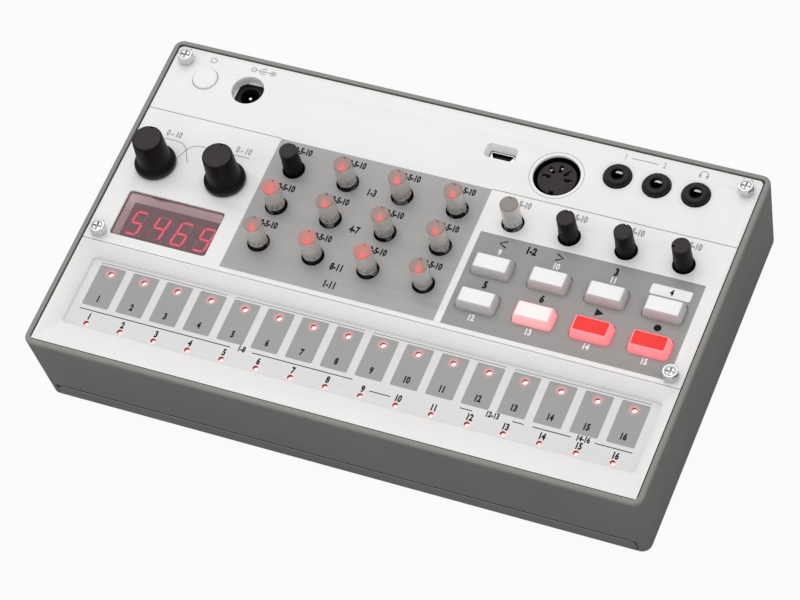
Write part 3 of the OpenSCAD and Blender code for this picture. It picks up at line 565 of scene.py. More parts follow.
def rib_tree(name):
    """Copies a rib around an upright axis, with the rib's X axis pointing outwards."""
    tree, start, instances = nodes_tree(name, Count="Int", Radius="Float")
    circle = tree.nodes.new("GeometryNodeMeshCircle")
    place = tree.nodes.new("GeometryNodeInputPosition")
    aim = tree.nodes.new("FunctionNodeAlignRotationToVector")
    aim.axis = "X"
    aim.pivot_axis = "Z"
    link(
        tree, (start, "Count", circle, "Vertices"), (start, "Radius", circle, "Radius"),
        (place, "Position", aim, "Vector"), (circle, "Mesh", instances, "Points"),
        (aim, "Rotation", instances, "Rotation"))
    return tree


TREES = {"Row": row_tree, "Corners": corner_tree, "Ribs": rib_tree}


def repeated(mould, tree_name, finish, **sizes):
    """Runs a shape through one of the trees and gives back a plain mesh."""
    tree = bpy.data.node_groups.get(tree_name) or TREES[tree_name](tree_name)
    mould.outward()
    shape = mould.mesh("shape")
    item = bpy.data.objects.new("shape", shape)
    modifier = item.modifiers.new("Repeat", "NODES")
    modifier.node_group = tree
    sockets = {s.name: s.identifier for s in tree.interface.items_tree if s.in_out == "INPUT"}
    for title, value in {**sizes, "Finish": finish_of(finish)}.items():
        modifier[sockets[title]] = value
    mesh = evaluated(item)
    bpy.data.meshes.remove(shape)
    return mesh


# Finishes


class Finish:
    """A material under way: its tree and its Principled shader."""

    def __init__(self, name, **sockets):
        self.material = bpy.data.materials.new(name)
        self.material.use_nodes = True
        self.tree = self.material.node_tree
        self.shader = self.tree.nodes["Principled BSDF"]
        self.set(**sockets)

    def put(self, socket, value):
        """Puts a number, a colour or another node's output on a socket."""
        if isinstance(value, bpy.types.NodeSocket):
            self.tree.links.new(value, socket)
        elif socket.type == "RGBA":
            socket.default_value = (*value, 1.0)
        else:
            socket.default_value = value

    def fill(self, node, sockets):
        for title, value in sockets.items():
            self.put(node.inputs[title.replace("_", " ")], value)

    def set(self, **sockets):
        self.fill(self.shader, sockets)

    def node(self, kind, **sockets):
        node = self.tree.nodes.new(kind)
        self.fill(node, sockets)
        return node

    def math(self, operation, a, b=0.0):
        node = self.tree.nodes.new("ShaderNodeMath")
        node.operation = operation
        self.put(node.inputs[0], a)
        self.put(node.inputs[1], b)
        return node.outputs["Value"]

    def times(self, first, *others):
        for other in others:
            first = self.math("MULTIPLY", first, other)
        return first

    def point(self):
        return self.tree.nodes.new("ShaderNodeTexCoord").outputs["Object"]

    def axes(self):
        """The place on the object, in metres, as three numbers."""
        return tuple(self.node("ShaderNodeSeparateXYZ", Vector=self.point()).outputs)

    def noise(self, scale, detail=2.0, stretch=None):
        place = self.point()
        if stretch:
            place = self.node("ShaderNodeMapping", Vector=place, Scale=stretch).outputs["Vector"]
        return self.node("ShaderNodeTexNoise", Vector=place, Scale=scale, Detail=detail).outputs[0]

    def between(self, value, low, high, to_low, to_high):
        return self.node(
            "ShaderNodeMapRange", Value=value, From_Min=low, From_Max=high, To_Min=to_low,
            To_Max=to_high).outputs["Result"]

    def scaled(self, noise, to_low, to_high):
        """The middle of a noise, where most of it lies, stretched to run between two values."""
        return self.between(noise, 0.3, 0.7, to_low, to_high)

    def mix(self, share, a, b):
        """Mixes two colours; sockets 6, 7 and 2 are those for colours."""
        node = self.tree.nodes.new("ShaderNodeMix")
        node.data_type = "RGBA"
        for i, value in ((0, share), (6, a), (7, b)):
            self.put(node.inputs[i], value)
        return node.outputs[2]

    def inside(self, across, along, x0, x1, y0, y1):
        """One inside a rectangle of two axes, in millimetres, and nought outside."""
        return self.times(*(
            self.math(test, axis, limit * MM) for test, axis, limit in (
                ("GREATER_THAN", across, x0), ("LESS_THAN", across, x1), ("GREATER_THAN", along, y0),
                ("LESS_THAN", along, y1))))

    def tint(self, share, colour):
        """Mixes a colour in where a share is one."""
        plain = self.shader.inputs["Base Color"].links[0].from_socket
        self.set(Base_Color=self.mix(share, plain, colour))

    def glow(self, share, colour):
        """Sends out a colour's light where a share is one."""
        self.set(Emission_Color=self.mix(share, (0.0, 0.0, 0.0), colour), Emission_Strength=1.0)

    def bump(self, height, strength, depth):
        """Raises the surface by a noise, by at most so many metres."""
        node = self.node("ShaderNodeBump", Strength=strength, Distance=depth, Height=height)
        self.set(Normal=node.outputs["Normal"])


def moulded(name, colour, rough, grain, strength, spread=0.04, shade=1.0, **sockets):
    """Moulded plastic: slow shade changes, fine grain and uneven gloss."""
    finish = Finish(name, **sockets)
    colour = light(colour, shade)
    slow = finish.scaled(finish.noise(45.0, 4.0), 0.0, 1.0)
    fine = finish.noise(grain)
    finish.set(
        Base_Color=finish.mix(slow, shaded(colour, 1 - spread), shaded(colour, 1 + spread)),
        Roughness=finish.scaled(fine, rough - 0.07, rough + 0.07))
    finish.bump(fine, strength, 0.00004)
    return finish


def plain(*values, glow=None, **sockets):
    """A maker of a moulded finish, with an even glow given as a colour and a strength."""
    def make(name):
        finish = moulded(name, *values, **sockets)
        if glow:
            finish.set(Emission_Color=light(glow[0]), Emission_Strength=glow[1])
        return finish.material
    return make


def case_finish(name):
    """Grey plastic, with a painted highlight on the rim's top, painted shade in the gap inside the rim, and a
    painted shadow line along the battery cover's seam with a painted highlight under it.
    """
    finish = moulded(name, "case", 0.6, 1900.0, 0.4, 0.05, Specular_IOR_Level=0.25)
    x, y, z = finish.axes()
    # Painted highlight: the rim's top is mixed toward a lighter grey.
    rim = finish.between(z, (PANEL_Z - 1.2) * MM, (PANEL_Z + 0.3) * MM, 0.0, 1.0)
    finish.tint(rim, light("case", 1.35))
    # Painted shade: the rim's inner wall, in the gap around the panel, is made near black.
    reach_x, reach_y = PANEL_X + 0.23, PANEL_BACK + 0.23
    within = finish.inside(x, y, -reach_x, reach_x, -reach_y, reach_y)
    gap = finish.inside(x, z, -reach_x, reach_x, UNDER_Z - 0.5, PANEL_Z - 0.1)
    finish.tint(finish.times(within, gap), (0.02, 0.02, 0.02))
    # Painted shadow line along the battery cover's seam, and a painted highlight on the cover's edge just
    # below it.
    front = finish.math("LESS_THAN", y, -52.0 * MM)
    end, lip = (value / MM for value in (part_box("battery_cover")[1].x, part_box("battery_cover")[1].z))
    for low, high, share in ((lip - 0.05, lip + 0.5, 0.12), (lip - 0.6, lip - 0.05, 1.7)):
        line = finish.inside(x, z, 2.0 - end, end - 2.0, low, high)
        finish.tint(finish.times(line, front), light("case", share))
    return finish.material


def white_finish(name):
    """White plastic, with painted shade along its outer edges at the gap to the case."""
    finish = moulded(name, "panel", 0.42, 1500.0, 0.06, 0.012)
    x, y, _ = finish.axes()
    # Painted shade: near black outside a line just inside the outer edges.
    reach_x, reach_y = PANEL_X - 0.1, PANEL_BACK - 0.1
    clear = finish.inside(x, y, -reach_x, reach_x, -reach_y, reach_y)
    finish.tint(finish.math("SUBTRACT", 1.0, clear), (0.03, 0.03, 0.03))
    return finish


def panel_finish(name):
    """White plastic with two grey fields printed on its top, and painted light on the display shade's walls
    under the window: a pink glow standing in for the light through the window and from the digits, strongest
    on the back wall.
    """
    finish = white_finish(name)
    x, y, z = finish.axes()
    on_top = finish.math("GREATER_THAN", z, (PANEL_Z - 0.4) * MM)
    speck = finish.noise(3200.0, 1.0)
    for field, dark, pale in ((KNOB_FIELD, 0.97, 1.03), (KEY_FIELD, 0.75, 0.8)):
        grey = finish.mix(speck, light("field", dark), light("field", pale))
        finish.tint(finish.times(finish.inside(x, y, *field), on_top), grey)
    # Painted light: a pink glow on the walls under the window, a little stronger on the back wall.
    pit = finish.inside(x, y, WINDOW[0] - 18.2, WINDOW[0] + 18.2, WINDOW[1] - 10.4, WINDOW[1] + 10.4)
    below = finish.math("LESS_THAN", z, (UNDER_Z - 0.1) * MM)
    back = finish.math("GREATER_THAN", y, (WINDOW[1] + 7.5) * MM)
    share = finish.times(pit, below, finish.between(back, 0.0, 1.0, 0.85, 1.0))
    finish.glow(share, (0.46, 0.335, 0.35))
    return finish.material


def plain_white_finish(name):
    return white_finish(name).material


def lamp_halo(finish, row_y, reach, strength):
    """Light that spreads in the strip around each lamp of a row."""
    x, y, _ = finish.axes()
    share = finish.math("FRACT", finish.math("DIVIDE", x, STEP_PITCH * MM))
    dx = finish.times(finish.math("SUBTRACT", share, 0.5), STEP_PITCH)
    dy = finish.math("DIVIDE", finish.math("SUBTRACT", y, row_y * MM), MM)
    far = finish.math("SQRT", finish.math("ADD", finish.times(dx, dx), finish.times(dy, dy)))
    near = finish.between(far, LAMP_HOLE_R, LAMP_HOLE_R + reach, 1.0, 0.0)
    return finish.times(near, near, strength)


def strip_finish(name):
    finish = moulded(name, "strip", 0.38, 1700.0, 0.05, 0.015)
    halos = lamp_halo(finish, STEP_LAMP_Y, 1.5, 0.3), lamp_halo(finish, PART_LAMP_Y, 1.1, 0.16)
    finish.glow(finish.math("ADD", *halos), light("lamp"))
    return finish.material


def pad_finish(name):
    finish = moulded(name, "pad", 0.42, 3000.0, 0.05, 0.02)
    finish.glow(lamp_halo(finish, STEP_LAMP_Y, 1.5, 0.5), light("lamp"))
    return finish.material


def clear_foot(shade):
    """Ribbed foot of a clear knob, with painted shade and light for what shows through it: dark patches, a
    painted highlight line, and at its end the painted shade of the hole, broken by painted glints.
    """
    def make(name):
        finish = moulded(
            name, "clear", 0.2, 900.0, 0.004, shade=shade, Transmission_Weight=0.45, IOR=1.49,
            Coat_Weight=0.5, Coat_Roughness=0.08)
        colour = light("clear", shade)
        rise = finish.math("SUBTRACT", finish.math("DIVIDE", finish.axes()[2], MM), PANEL_Z)
        # Painted shade: dark patches on the foot's upper part, for the dark hole and shaft seen through the
        # plastic.
        painted_dark_patches = finish.between(finish.noise(1400.0), 0.42, 0.58, 0.0, 1.0)
        high = finish.between(rise, 2.0, 4.6, 0.85, 0.0)
        finish.tint(finish.times(painted_dark_patches, high), shaded(colour, 0.3))
        # Painted highlight: a pale line a little above the panel.
        line = finish.times(
            finish.between(rise, 1.2, 1.5, 0.0, 0.6), finish.between(rise, 1.7, 2.1, 1.0, 0.0))
        finish.tint(line, shaded(colour, 1.4))
        # Painted shade: the foot's end is made near black for the hole below, with gaps left as painted
        # glints.
        patch = finish.between(finish.noise(330.0, 0.0), 0.56, 0.62, 0.95, 0.1)
        end = finish.between(rise, 1.1, 1.4, 1.0, 0.0)
        finish.tint(finish.times(end, patch), (0.01, 0.01, 0.01))
        return finish.material
    return make


def crown_finish(name):
    """Polished top of a clear knob, lit by its lamp below; the light is painted as a fixed glow that its
    points keep, with a painted wedge of refracted light toward the front.
    """
    finish = moulded(name, (0.60, 0.565, 0.54), 0.3, 300.0, 0.01, 0.03, Transmission_Weight=0.25, IOR=1.49)
    kept = finish.tree.nodes.new("ShaderNodeAttribute")
    kept.attribute_name = "glow"
    # Painted light: where the glow is kept, the colour turns pink and the top glows.
    finish.tint(kept.outputs["Fac"], light((0.75, 0.36, 0.34)))
    finish.glow(kept.outputs["Fac"], light((0.80, 0.22, 0.21)))
    return finish.material


def lit_rubber(colour, at_foot, at_top):
    """Translucent rubber lit from below, brightest along its foot."""
    def make(name):
        finish = moulded(
            name, colour, 0.5, 1800.0, 0.1, 0.03, Subsurface_Weight=0.25, Subsurface_Scale=0.001)
        share = finish.between(finish.axes()[2], PANEL_Z * MM, (PANEL_Z + 3.0) * MM, at_foot, at_top)
        finish.glow(share, light("lamp"))
        return finish.material
    return make


def uneven_lamp(colour, rough, grain, spread, spots, least, dim, bright, strength):
    """A lamp's lens or bar, with light between two colours."""
    def make(name):
        finish = moulded(name, colour, rough, grain, 0.05, spread)
        share = finish.scaled(finish.noise(spots), least, 1.0)
        finish.set(Emission_Color=finish.mix(share, dim, bright), Emission_Strength=strength)
        return finish.material
    return make


def metal(dull, bright, scale, detail, stretch, rough, strength):
    """Bright plated metal with fine marks from its making."""
    def make(name):
        finish = Finish(name, Metallic=1.0)
        marks = finish.noise(scale, detail, stretch)
        finish.set(Base_Color=finish.mix(marks, dull, bright), Roughness=finish.scaled(marks, 0.2, rough))
        finish.bump(marks, strength, 0.00002)
        return finish.material
    return make


def board_finish(name):
    """Green lacquer over copper tracks that run along the board."""
    finish = Finish(name)
    tracks = finish.noise(260.0, 1.0, stretch=(0.15, 1.0, 1.0))
    line = finish.between(tracks, 0.49, 0.51, 0.0, 1.0)
    finish.set(
        Base_Color=finish.mix(line, light((0.10, 0.32, 0.20)), light((0.14, 0.42, 0.26))),
        Roughness=finish.scaled(tracks, 0.3, 0.42))
    finish.bump(line, 0.2, 0.00003)
    return finish.material


def ribbon_finish(name):
    """Pale ribbon cable with a ridge for every wire."""
    finish = Finish(name)
    wires = finish.node("ShaderNodeTexWave", Vector=finish.point(), Scale=250.0).outputs["Fac"]
    finish.set(
        Base_Color=finish.mix(wires, light((0.74, 0.74, 0.71)), light((0.86, 0.86, 0.84))),
        Roughness=finish.between(wires, 0.0, 1.0, 0.5, 0.4))
    finish.bump(wires, 0.5, 0.0001)
    return finish.material


def floor_finish(name):
    """Pale floor that looks white to the camera and keeps a soft shadow."""
    finish = Finish(name)
    grain = finish.noise(60.0, 3.0)
    finish.set(
        Base_Color=finish.mix(grain, (0.32, 0.32, 0.32), (0.35, 0.35, 0.35)),
        Roughness=finish.scaled(grain, 0.75, 0.85))
    rays = finish.tree.nodes.new("ShaderNodeLightPath").outputs
    seen = finish.math("MAXIMUM", rays["Is Camera Ray"], rays["Is Transmission Ray"])
    white = finish.node("ShaderNodeEmission", Strength=1.0)
    blend = finish.tree.nodes.new("ShaderNodeMixShader")
    sources = finish.times(seen, 0.95), finish.shader.outputs["BSDF"], white.outputs["Emission"]
    for socket, source in zip(blend.inputs, sources):
        finish.put(socket, source)
    finish.put(finish.tree.nodes["Material Output"].inputs["Surface"], blend.outputs["Shader"])
    return finish.material


STEEL = (0.86, 0.86, 0.87)

# Makers of the finishes; a plain one has its colour, roughness, grain, grain's strength and spread of shades
FINISHES = {
    "case_grey": case_finish,
    "panel_print": panel_finish,
    "panel_white": plain_white_finish,
    "strip_grey": strip_finish,
    "pad_grey": pad_finish,
    "black": plain((0.085, 0.08, 0.08), 0.34, 2200.0, 0.15, Specular_IOR_Level=0.14),
    "jack_black": plain((0.065, 0.06, 0.06), 0.24, 900.0, 0.05, Specular_IOR_Level=0.2),
    "din_grey": plain((0.19, 0.175, 0.17), 0.5, 1200.0, 0.3, Specular_IOR_Level=0.2),
    "knob_dark": plain("knob", 0.42, 2400.0, 0.2, 0.08, Specular_IOR_Level=0.1),
    # A lighter copy of the knobs' black, for their tops and skirts: painted light.
    "knob_painted_lighter": plain((0.14, 0.12, 0.112), 0.4, 2400.0, 0.2, Specular_IOR_Level=0.27),
    "frosted": clear_foot(1.0),
    # Painted light: the unlit knob's foot is made lighter, as the white panel around it lights it.
    "foot_painted_lighter": clear_foot(1.45),
    "clear_side": plain(
        "clear", 0.2, 300.0, 0.004, 0.03, 0.94, Transmission_Weight=0.45, IOR=1.49, Coat_Weight=0.6,
        Coat_Roughness=0.06),
    "crown": crown_finish,
    "key_rubber": plain(
        (0.76, 0.757, 0.753), 0.5, 1800.0, 0.1, 0.02, Subsurface_Weight=0.25, Subsurface_Scale=0.001,
        Subsurface_Radius=(1.0, 1.0, 1.0)),
    "key_cap": plain("key", 0.5, 2600.0, 0.08, 0.01),
    "lit_key": lit_rubber((0.95, 0.62, 0.63), 0.75, 0.5),
    "step_key_rubber": lit_rubber((0.95, 0.82, 0.82), 0.5, 0.2),
    "step_cap": plain("key", 0.5, 2600.0, 0.08, 0.01, glow=("lamp", 0.12)),
    "red_cap": plain("red", 0.5, 2600.0, 0.08, 0.03, glow=("red", 0.12)),
    "lamp_lens": uneven_lamp(
        (1.0, 0.7, 0.68), 0.3, 4000.0, 0.03, 900.0, 0.85, light((1.0, 0.62, 0.62)), light((1.0, 0.92, 0.91)),
        1.8),
    "dim_lamp_lens": uneven_lamp(
        (0.95, 0.80, 0.78), 0.3, 4000.0, 0.03, 900.0, 0.8, light((0.95, 0.62, 0.62)), light((1.0, 0.82, 0.8)),
        0.9),
    # Dark red for the walls of the lamps' holes: painted lamp light and shade.
    "lamp_well": plain((0.58, 0.12, 0.15), 0.5, 3000.0, 0.05),
    "window_tint": plain("window", 0.08, 200.0, 0.002, 0.02, Alpha=0.6, IOR=1.82),
    "window_body": plain("window", 0.1, 200.0, 0.002, 0.02, Alpha=0.04, IOR=1.45),
    "module_face": plain((0.24, 0.21, 0.205), 0.5, 2000.0, 0.1),
    "segment_lit": uneven_lamp(
        (0.95, 0.35, 0.42), 0.4, 3000.0, 0.04, 700.0, 0.0, (1.0, 0.0, 0.07), (1.0, 0.01, 0.1), 1.45),
    "segment_dark": plain((0.5, 0.45, 0.45), 0.5, 3000.0, 0.05),
    "plated_steel": metal(light(STEEL, 0.9), light(STEEL), 700.0, 5.0, (1.0, 1.0, 6.0), 0.32, 0.08),
    "plated_brass": metal(
        light((0.80, 0.70, 0.48)), light((0.92, 0.84, 0.62)), 1500.0, 4.0, None, 0.35, 0.1),
    "soft_rubber": plain((0.11, 0.11, 0.11), 0.8, 1600.0, 0.5, 0.08),
    "board_lacquer": board_finish,
    "ribbon": ribbon_finish,
    "ink_black": plain("ink", 0.6, 3000.0, 0.04, 0.08, Specular_IOR_Level=0.1),
    "ink_grey": plain((0.60, 0.60, 0.60), 0.5, 3000.0, 0.04),
    "ink_white": plain((0.95, 0.95, 0.95), 0.5, 3000.0, 0.04, 0.02),
    "floor_white": floor_finish,
}


def finish_of(name):
    return bpy.data.materials.get(name) or FINISHES[name](name)


# Pieces


class SAMPLER_OT_case(bpy.types.Operator):
    """Case tub, battery cover and feet"""

    bl_idname = "sampler.case"
    bl_label = "Case"

    def execute(self, context):
        dressed("case_tub", "chassis", "lower_case", "case_grey", "case_plastic", smooth=32.0)
        dressed("cover_plate", "battery_cover", "battery_cover", "case_grey", "case_plastic", smooth=32.0)
        dressed("foot_pads", "chassis", "rubber_feet", "soft_rubber", "foot_rubber", 0.35)
        return {"FINISHED"}


def dc_body(half):
    """Outline of the power socket: a square with its two back corners cut."""
    corners = ((-1, -1), (1, -1), (1, 0.68), (0.68, 1), (-0.68, 1), (-1, 0.68))
    return [(DC[0] + half * x, DC[1] + half * y) for x, y in corners]


def panel_holes():
    """Outlines of every hole through the control panel."""
    holes = [ring(KNOB_HOLE_R, 40, middle(node)) for node in SMALL_KNOBS]
    holes += [ring(SHAFT_HOLE_R, 40, middle(name + "_shaft")) for name in LARGE_KNOBS]
    holes += [
        rounded(KEY_W + 2 * KEY_GAP, KEY_D + 2 * KEY_GAP, KEY_R + KEY_GAP, middle(node))
        for node in BACK_KEYS + FRONT_KEYS]
    holes += [ring(JACK_HOLE_R, 48, at) for at in JACKS]
    holes += [
        ring(SCREW_HOLE_R, 24, (x, y)) for x in (-SCREWS_X, SCREWS_X) for y in (SCREWS_FRONT, SCREWS_BACK)]
    holes += [ring(POWER_HOLE_R, 48, POWER), ring(DC_HOLE_R, 48, DC), ring(DIN_HOLE_R, 64, DIN)]
    holes += [rounded(*USB_HOLE, USB), rounded(*WINDOW_HOLE, WINDOW)]
    return holes


class SAMPLER_OT_panel(bpy.types.Operator):
    """Control panel with its holes, socket collars, display shade and board standoffs"""

    bl_idname = "sampler.panel"
    bl_label = "Control panel"

    def execute(self, context):
        skin = "panel_print"
        corner_y = PANEL_BACK - PANEL_CORNER
        outline = [(-PANEL_X, PANEL_FRONT), (PANEL_X, PANEL_FRONT)]
        outline += ring(PANEL_CORNER, 6, (PANEL_X - PANEL_CORNER, corner_y), 0.0, 90.0)
        outline += ring(PANEL_CORNER, 6, (PANEL_CORNER - PANEL_X, corner_y), 90.0, 90.0)
        mould = Mould()
        mould.plate([outline] + panel_holes(), UNDER_Z, PANEL_Z, skin, size_of("panel_edge"))
        mould.outward()
        knobs = [Vector(middle(node)) for node in SMALL_KNOBS]
        left, right, front, back = KEY_FIELD

        def gets_painted_shade(face):
            """True of the walls of the keys' and small knobs' holes, which are painted black as shade."""
            spot = face.calc_center_median().xy
            among_keys = left < spot.x < right and front < spot.y < back
            near_knob = any((spot - knob).length < KNOB_HOLE_R + 0.1 for knob in knobs)
            return upright(face) and (among_keys or near_knob)

        # Painted shade: these hole walls get the black finish, so the holes look dark.
        mould.repaint("black", gets_painted_shade)
        mould.turn([
            (7.1, PANEL_Z - 0.9), (7.6, PANEL_Z - 0.9), (7.6, UNDER_Z), (DIN_HOLE_R, UNDER_Z),
            (DIN_HOLE_R, PANEL_Z - 0.6), (8.12, PANEL_Z - 0.6), (8.12, PANEL_Z - 0.05, 0.08),
            (7.2, PANEL_Z - 0.05, 0.1), (7.1, PANEL_Z - 0.3, 0.1)], skin, DIN, 64, loop=True)
        usb_low = top("usb_shell") - 0.05
        usb_hole = rounded(*USB_HOLE, USB)
        mould.stack(
            [(usb_hole, usb_low), (usb_hole, PANEL_Z - 0.3), (rounded(8.05, 3.15, 0.7, USB), usb_low)], skin,
            closed=True)
        dc_low = top("dc_jack")
        mould.turn(
            [(DC_HOLE_R, dc_low), (6.15, dc_low), (6.15, UNDER_Z), (DC_HOLE_R, UNDER_Z)], skin, DC, loop=True)
        mould.plate([ring(6.6, 48, DC), dc_body(4.46)], dc_low - 0.7, dc_low, skin)
        for at in STANDOFFS:
            mould.turn(
                [(0.0, BOARD_Z), (STANDOFF_R, BOARD_Z), (STANDOFF_R, UNDER_Z), (0.0, UNDER_Z)], skin, at, 24)
        shade_x, shade_t, shade_front, shade_back = 16.9, 1.2, -11.4, WINDOW[1] + 9.15
        x0, x1 = WINDOW[0] - shade_x - shade_t, WINDOW[0] + shade_x
        for wall in (
            (x0, shade_front, x0 + shade_t, shade_back), (x1, shade_front, x1 + shade_t, shade_back),
            (x0, shade_back, x1 + shade_t, shade_back + shade_t),
        ):
            mould.prism(square(*wall), BOARD_Z + 0.3, UNDER_Z, skin)
        mould.piece("panel_plate", "chassis", "control_panel", slot="panel_plastic")
        return {"FINISHED"}


def power_mark(mould, at, ink, width):
    """The usual power sign: an open ring and an upright bar."""
    mould.stroke(ring(1.0, 20, at, 125.0, 290.0), width, PANEL_Z, ink)
    mould.stroke([(at[0], at[1] + 0.25), (at[0], at[1] + 1.35)], width, PANEL_Z, ink)


def polarity_mark(mould, at, ink, width):
    """The usual polarity sign: a centre pole, an open ring, and a sign for each."""
    x, y = at
    mould.stroke(ring(0.2, 14, at), 0.4, PANEL_Z, ink, closed=True)
    mould.stroke(ring(1.05, 20, at, 40.0, 280.0), width, PANEL_Z, ink)
    for side, start in ((-1, 1.05), (1, 0.4)):
        sign_x = x + side * 3.2
        mould.stroke([(x + side * start, y), (x + side * 2.4, y)], width, PANEL_Z, ink)
        mould.stroke(ring(0.8, 18, (sign_x, y)), width, PANEL_Z, ink, closed=True)
        mould.stroke([(sign_x - 0.4, y), (sign_x + 0.4, y)], width, PANEL_Z, ink)
    mould.stroke([(x + 3.2, y - 0.4), (x + 3.2, y + 0.4)], width, PANEL_Z, ink)


def headphone_mark(mould, at, ink, width):
    """The usual headphone sign: a band and two ear pads."""
    x, y = at
    mould.stroke(ring(1.25, 18, at, -10.0, 200.0), width, PANEL_Z, ink)
    for side in (-1, 1):
        mould.mark(rounded(0.6, 1.1, 0.2, (x + side * 1.1, y - 0.5), 2), PANEL_Z, ink)


class SAMPLER_OT_print(bpy.types.Operator):
    """Printed lines, signs and numbers on the control panel"""

    bl_idname = "sampler.print"
    bl_label = "Panel print"

    def execute(self, context):
        black, grey, white = "ink_black", "ink_grey", "ink_white"
        thin = size_of("line")
        mould = Mould()
        left, right, _, back = KNOB_FIELD
        for x0, x1 in ((-94.4, left), (right, 94.4)):
            mould.stroke([(x0, back + 0.1), (x1, back + 0.1)], thin, PANEL_Z, grey)
        for node in SMALL_KNOBS:
            x, y = middle(node)
            ink = black if x < right and y < back else grey
            mould.number("0-5-10", 2.1, (x + 0.4, y + 6.7), PANEL_Z, ink)
        for text, at in FIELD_RANGES:
            mould.number(text, 2.3, at, PANEL_Z, black)
        for curve in (FALLING_CURVE, RISING_CURVE):
            mould.stroke(curve, thin, PANEL_Z, grey)
        for x in (-82.6, -59.3):
            mould.number("0 - 10", 2.1, (x, 23.8), PANEL_Z, grey, bold=0.1)

        mould.mark(rounded(12.3, 3.5, 0.6, (81.15, 11.55)), PANEL_Z, white)
        x1, x2, x3, x4 = (middle(node)[0] for node in BACK_KEYS)
        mould.number("4", 2.0, (x4, 11.5), PANEL_Z + INK, black, width=0.75, bold=0.12)
        for text, x, y in (("1-2", (x1 + x2) / 2, 13.7), ("3", x3, 13.7), ("5", x1, -1.0), ("6", x2, -1.0)):
            mould.number(text, 2.3, (x, y), PANEL_Z, black, width=0.75, bold=0.2)
        for y, texts in ((10.8, ("9", "10", "11")), (-12.6, ("12", "13", "14", "15"))):
            for text, x in zip(texts, (x1, x2, x3, x4)):
                mould.number(text, 2.0, (x, y), PANEL_Z, white, width=0.75, bold=0.1)
        for x, side in ((x1, -1), (x2, 1)):
            arrow = [(x - side * 1.1, 15.1), (x + side * 1.1, 13.95), (x - side * 1.1, 12.8)]
            mould.stroke(arrow, 0.5, PANEL_Z, black)
        mould.mark([(x3 - 1.3, -2.0), (x3 + 1.3, -0.7), (x3 - 1.3, 0.6)], PANEL_Z, black)
        mould.mark(ring(1.15, 24, (x4, -0.8)), PANEL_Z, black)

        power_mark(mould, (POWER[0], SIGNS_Y), grey, thin)
        polarity_mark(mould, (-65.2, SIGNS_Y), grey, thin)
        x1, x2, x3 = (x for x, _ in JACKS)
        headphone_mark(mould, (x3, SIGNS_Y), grey, thin)
        for text, x in (("1", x1), ("2", x2)):
            mould.number(text, 1.9, (x, SIGNS_Y), PANEL_Z, grey, width=0.82, bold=0.0)
        mould.stroke([(x1 + 2.0, SIGNS_Y), (x2 - 2.0, SIGNS_Y)], thin, PANEL_Z, grey)
        mould.piece("panel_marks", "chassis")
        return {"FINISHED"}


class SAMPLER_OT_keyboard(bpy.types.Operator):
    """Keyboard frame, touch strip with its pads and numbers, and the strip's lamps"""

    bl_idname = "sampler.keyboard"
    bl_label = "Touch keyboard"

    def execute(self, context):
        dressed(
            "frame_slopes", "chassis", "keyboard_frame", "panel_white", "panel_plastic",
            size_of("frame_edge"), lambda edge: min(v.co.z for v in edge.verts) > STRIP_Z + 0.3)

        strip = Mould()
        holes = [ring(LAMP_HOLE_R, 24, (x, y)) for x in LAMPS_X for y in (STEP_LAMP_Y, PART_LAMP_Y)]
        outline = square(-STRIP_X, STRIP_FRONT, STRIP_X, STRIP_BACK)
        strip.plate([outline] + holes, STRIP_Z - 1.8, STRIP_Z, "strip_grey", 0.06)
        strip.outward()
        # Painted light and shade: the walls of the lamps' holes get a dark red, for the lamps' red light in
        # their shade.
        strip.repaint(
            "lamp_well", lambda face: upright(face) and abs(face.calc_center_median().x) < STRIP_X - 0.3)
        strip.piece("strip_plate", "chassis", "touch_strip", slot="strip_plastic")

        pad = Mould()
        outline = rounded(PAD_W, PAD_BACK - PAD_FRONT, 0.45, (0.0, (PAD_BACK + PAD_FRONT) / 2), 3)
        hole = ring(LAMP_HOLE_R + 0.05, 20, (0.0, STEP_LAMP_Y))
        pad.plate([outline, hole], STRIP_Z, STRIP_Z + INK, "pad_grey")
        pads = repeated(pad, "Row", "pad_grey", Count=STEPS, Pitch=STEP_PITCH)
        finished(pads, "touch_pads", "chassis", slot="strip_plastic")

        marks = Mould()
        black = "ink_black"
        pad_y, number_y = -34.9, -41.4
        for i, x in enumerate(LAMPS_X):
            marks.number(str(i + 1), 2.1, (x, pad_y), STRIP_Z + INK, black)
            marks.number(str(i + 1), 2.1, (x, number_y), STRIP_Z, black)
        for first, last in zip(LAMPS_X[::4], LAMPS_X[3::4]):
            ends = [(first - PAD_W / 2, -22.65), (last + PAD_W / 2, -22.65)]
            marks.stroke(ends, 0.3, STRIP_Z, "ink_grey")
        for ends, y in [(ends, -39.15) for ends in UNDERLINES] + [(DASH, number_y)]:
            marks.stroke([(x, y) for x in ends], 0.28, STRIP_Z, black)
        for text, x in STRIP_RANGES:
            marks.number(text, 1.8, (x, -38.9), STRIP_Z, black, bold=0.12)
        marks.piece("strip_marks", "chassis")

        low, high = (corner.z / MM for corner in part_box("strip_lamps"))
        lens_r = LAMP_HOLE_R - 0.1
        lamps = Mould()
        for row_y, finish in ((STEP_LAMP_Y, "lamp_lens"), (PART_LAMP_Y, "dim_lamp_lens")):
            lens = Mould()
            lens.turn(
                [(0.0, low), (lens_r, low), (lens_r, high - 0.1, 0.3), (0.0, high)], finish, (0.0, row_y), 20)
            lamps.take(repeated(lens, "Row", finish, Count=STEPS, Pitch=STEP_PITCH), finish)
        lamps.piece("strip_lenses", "chassis", "strip_lamps", slot="lamp_red")
        return {"FINISHED"}


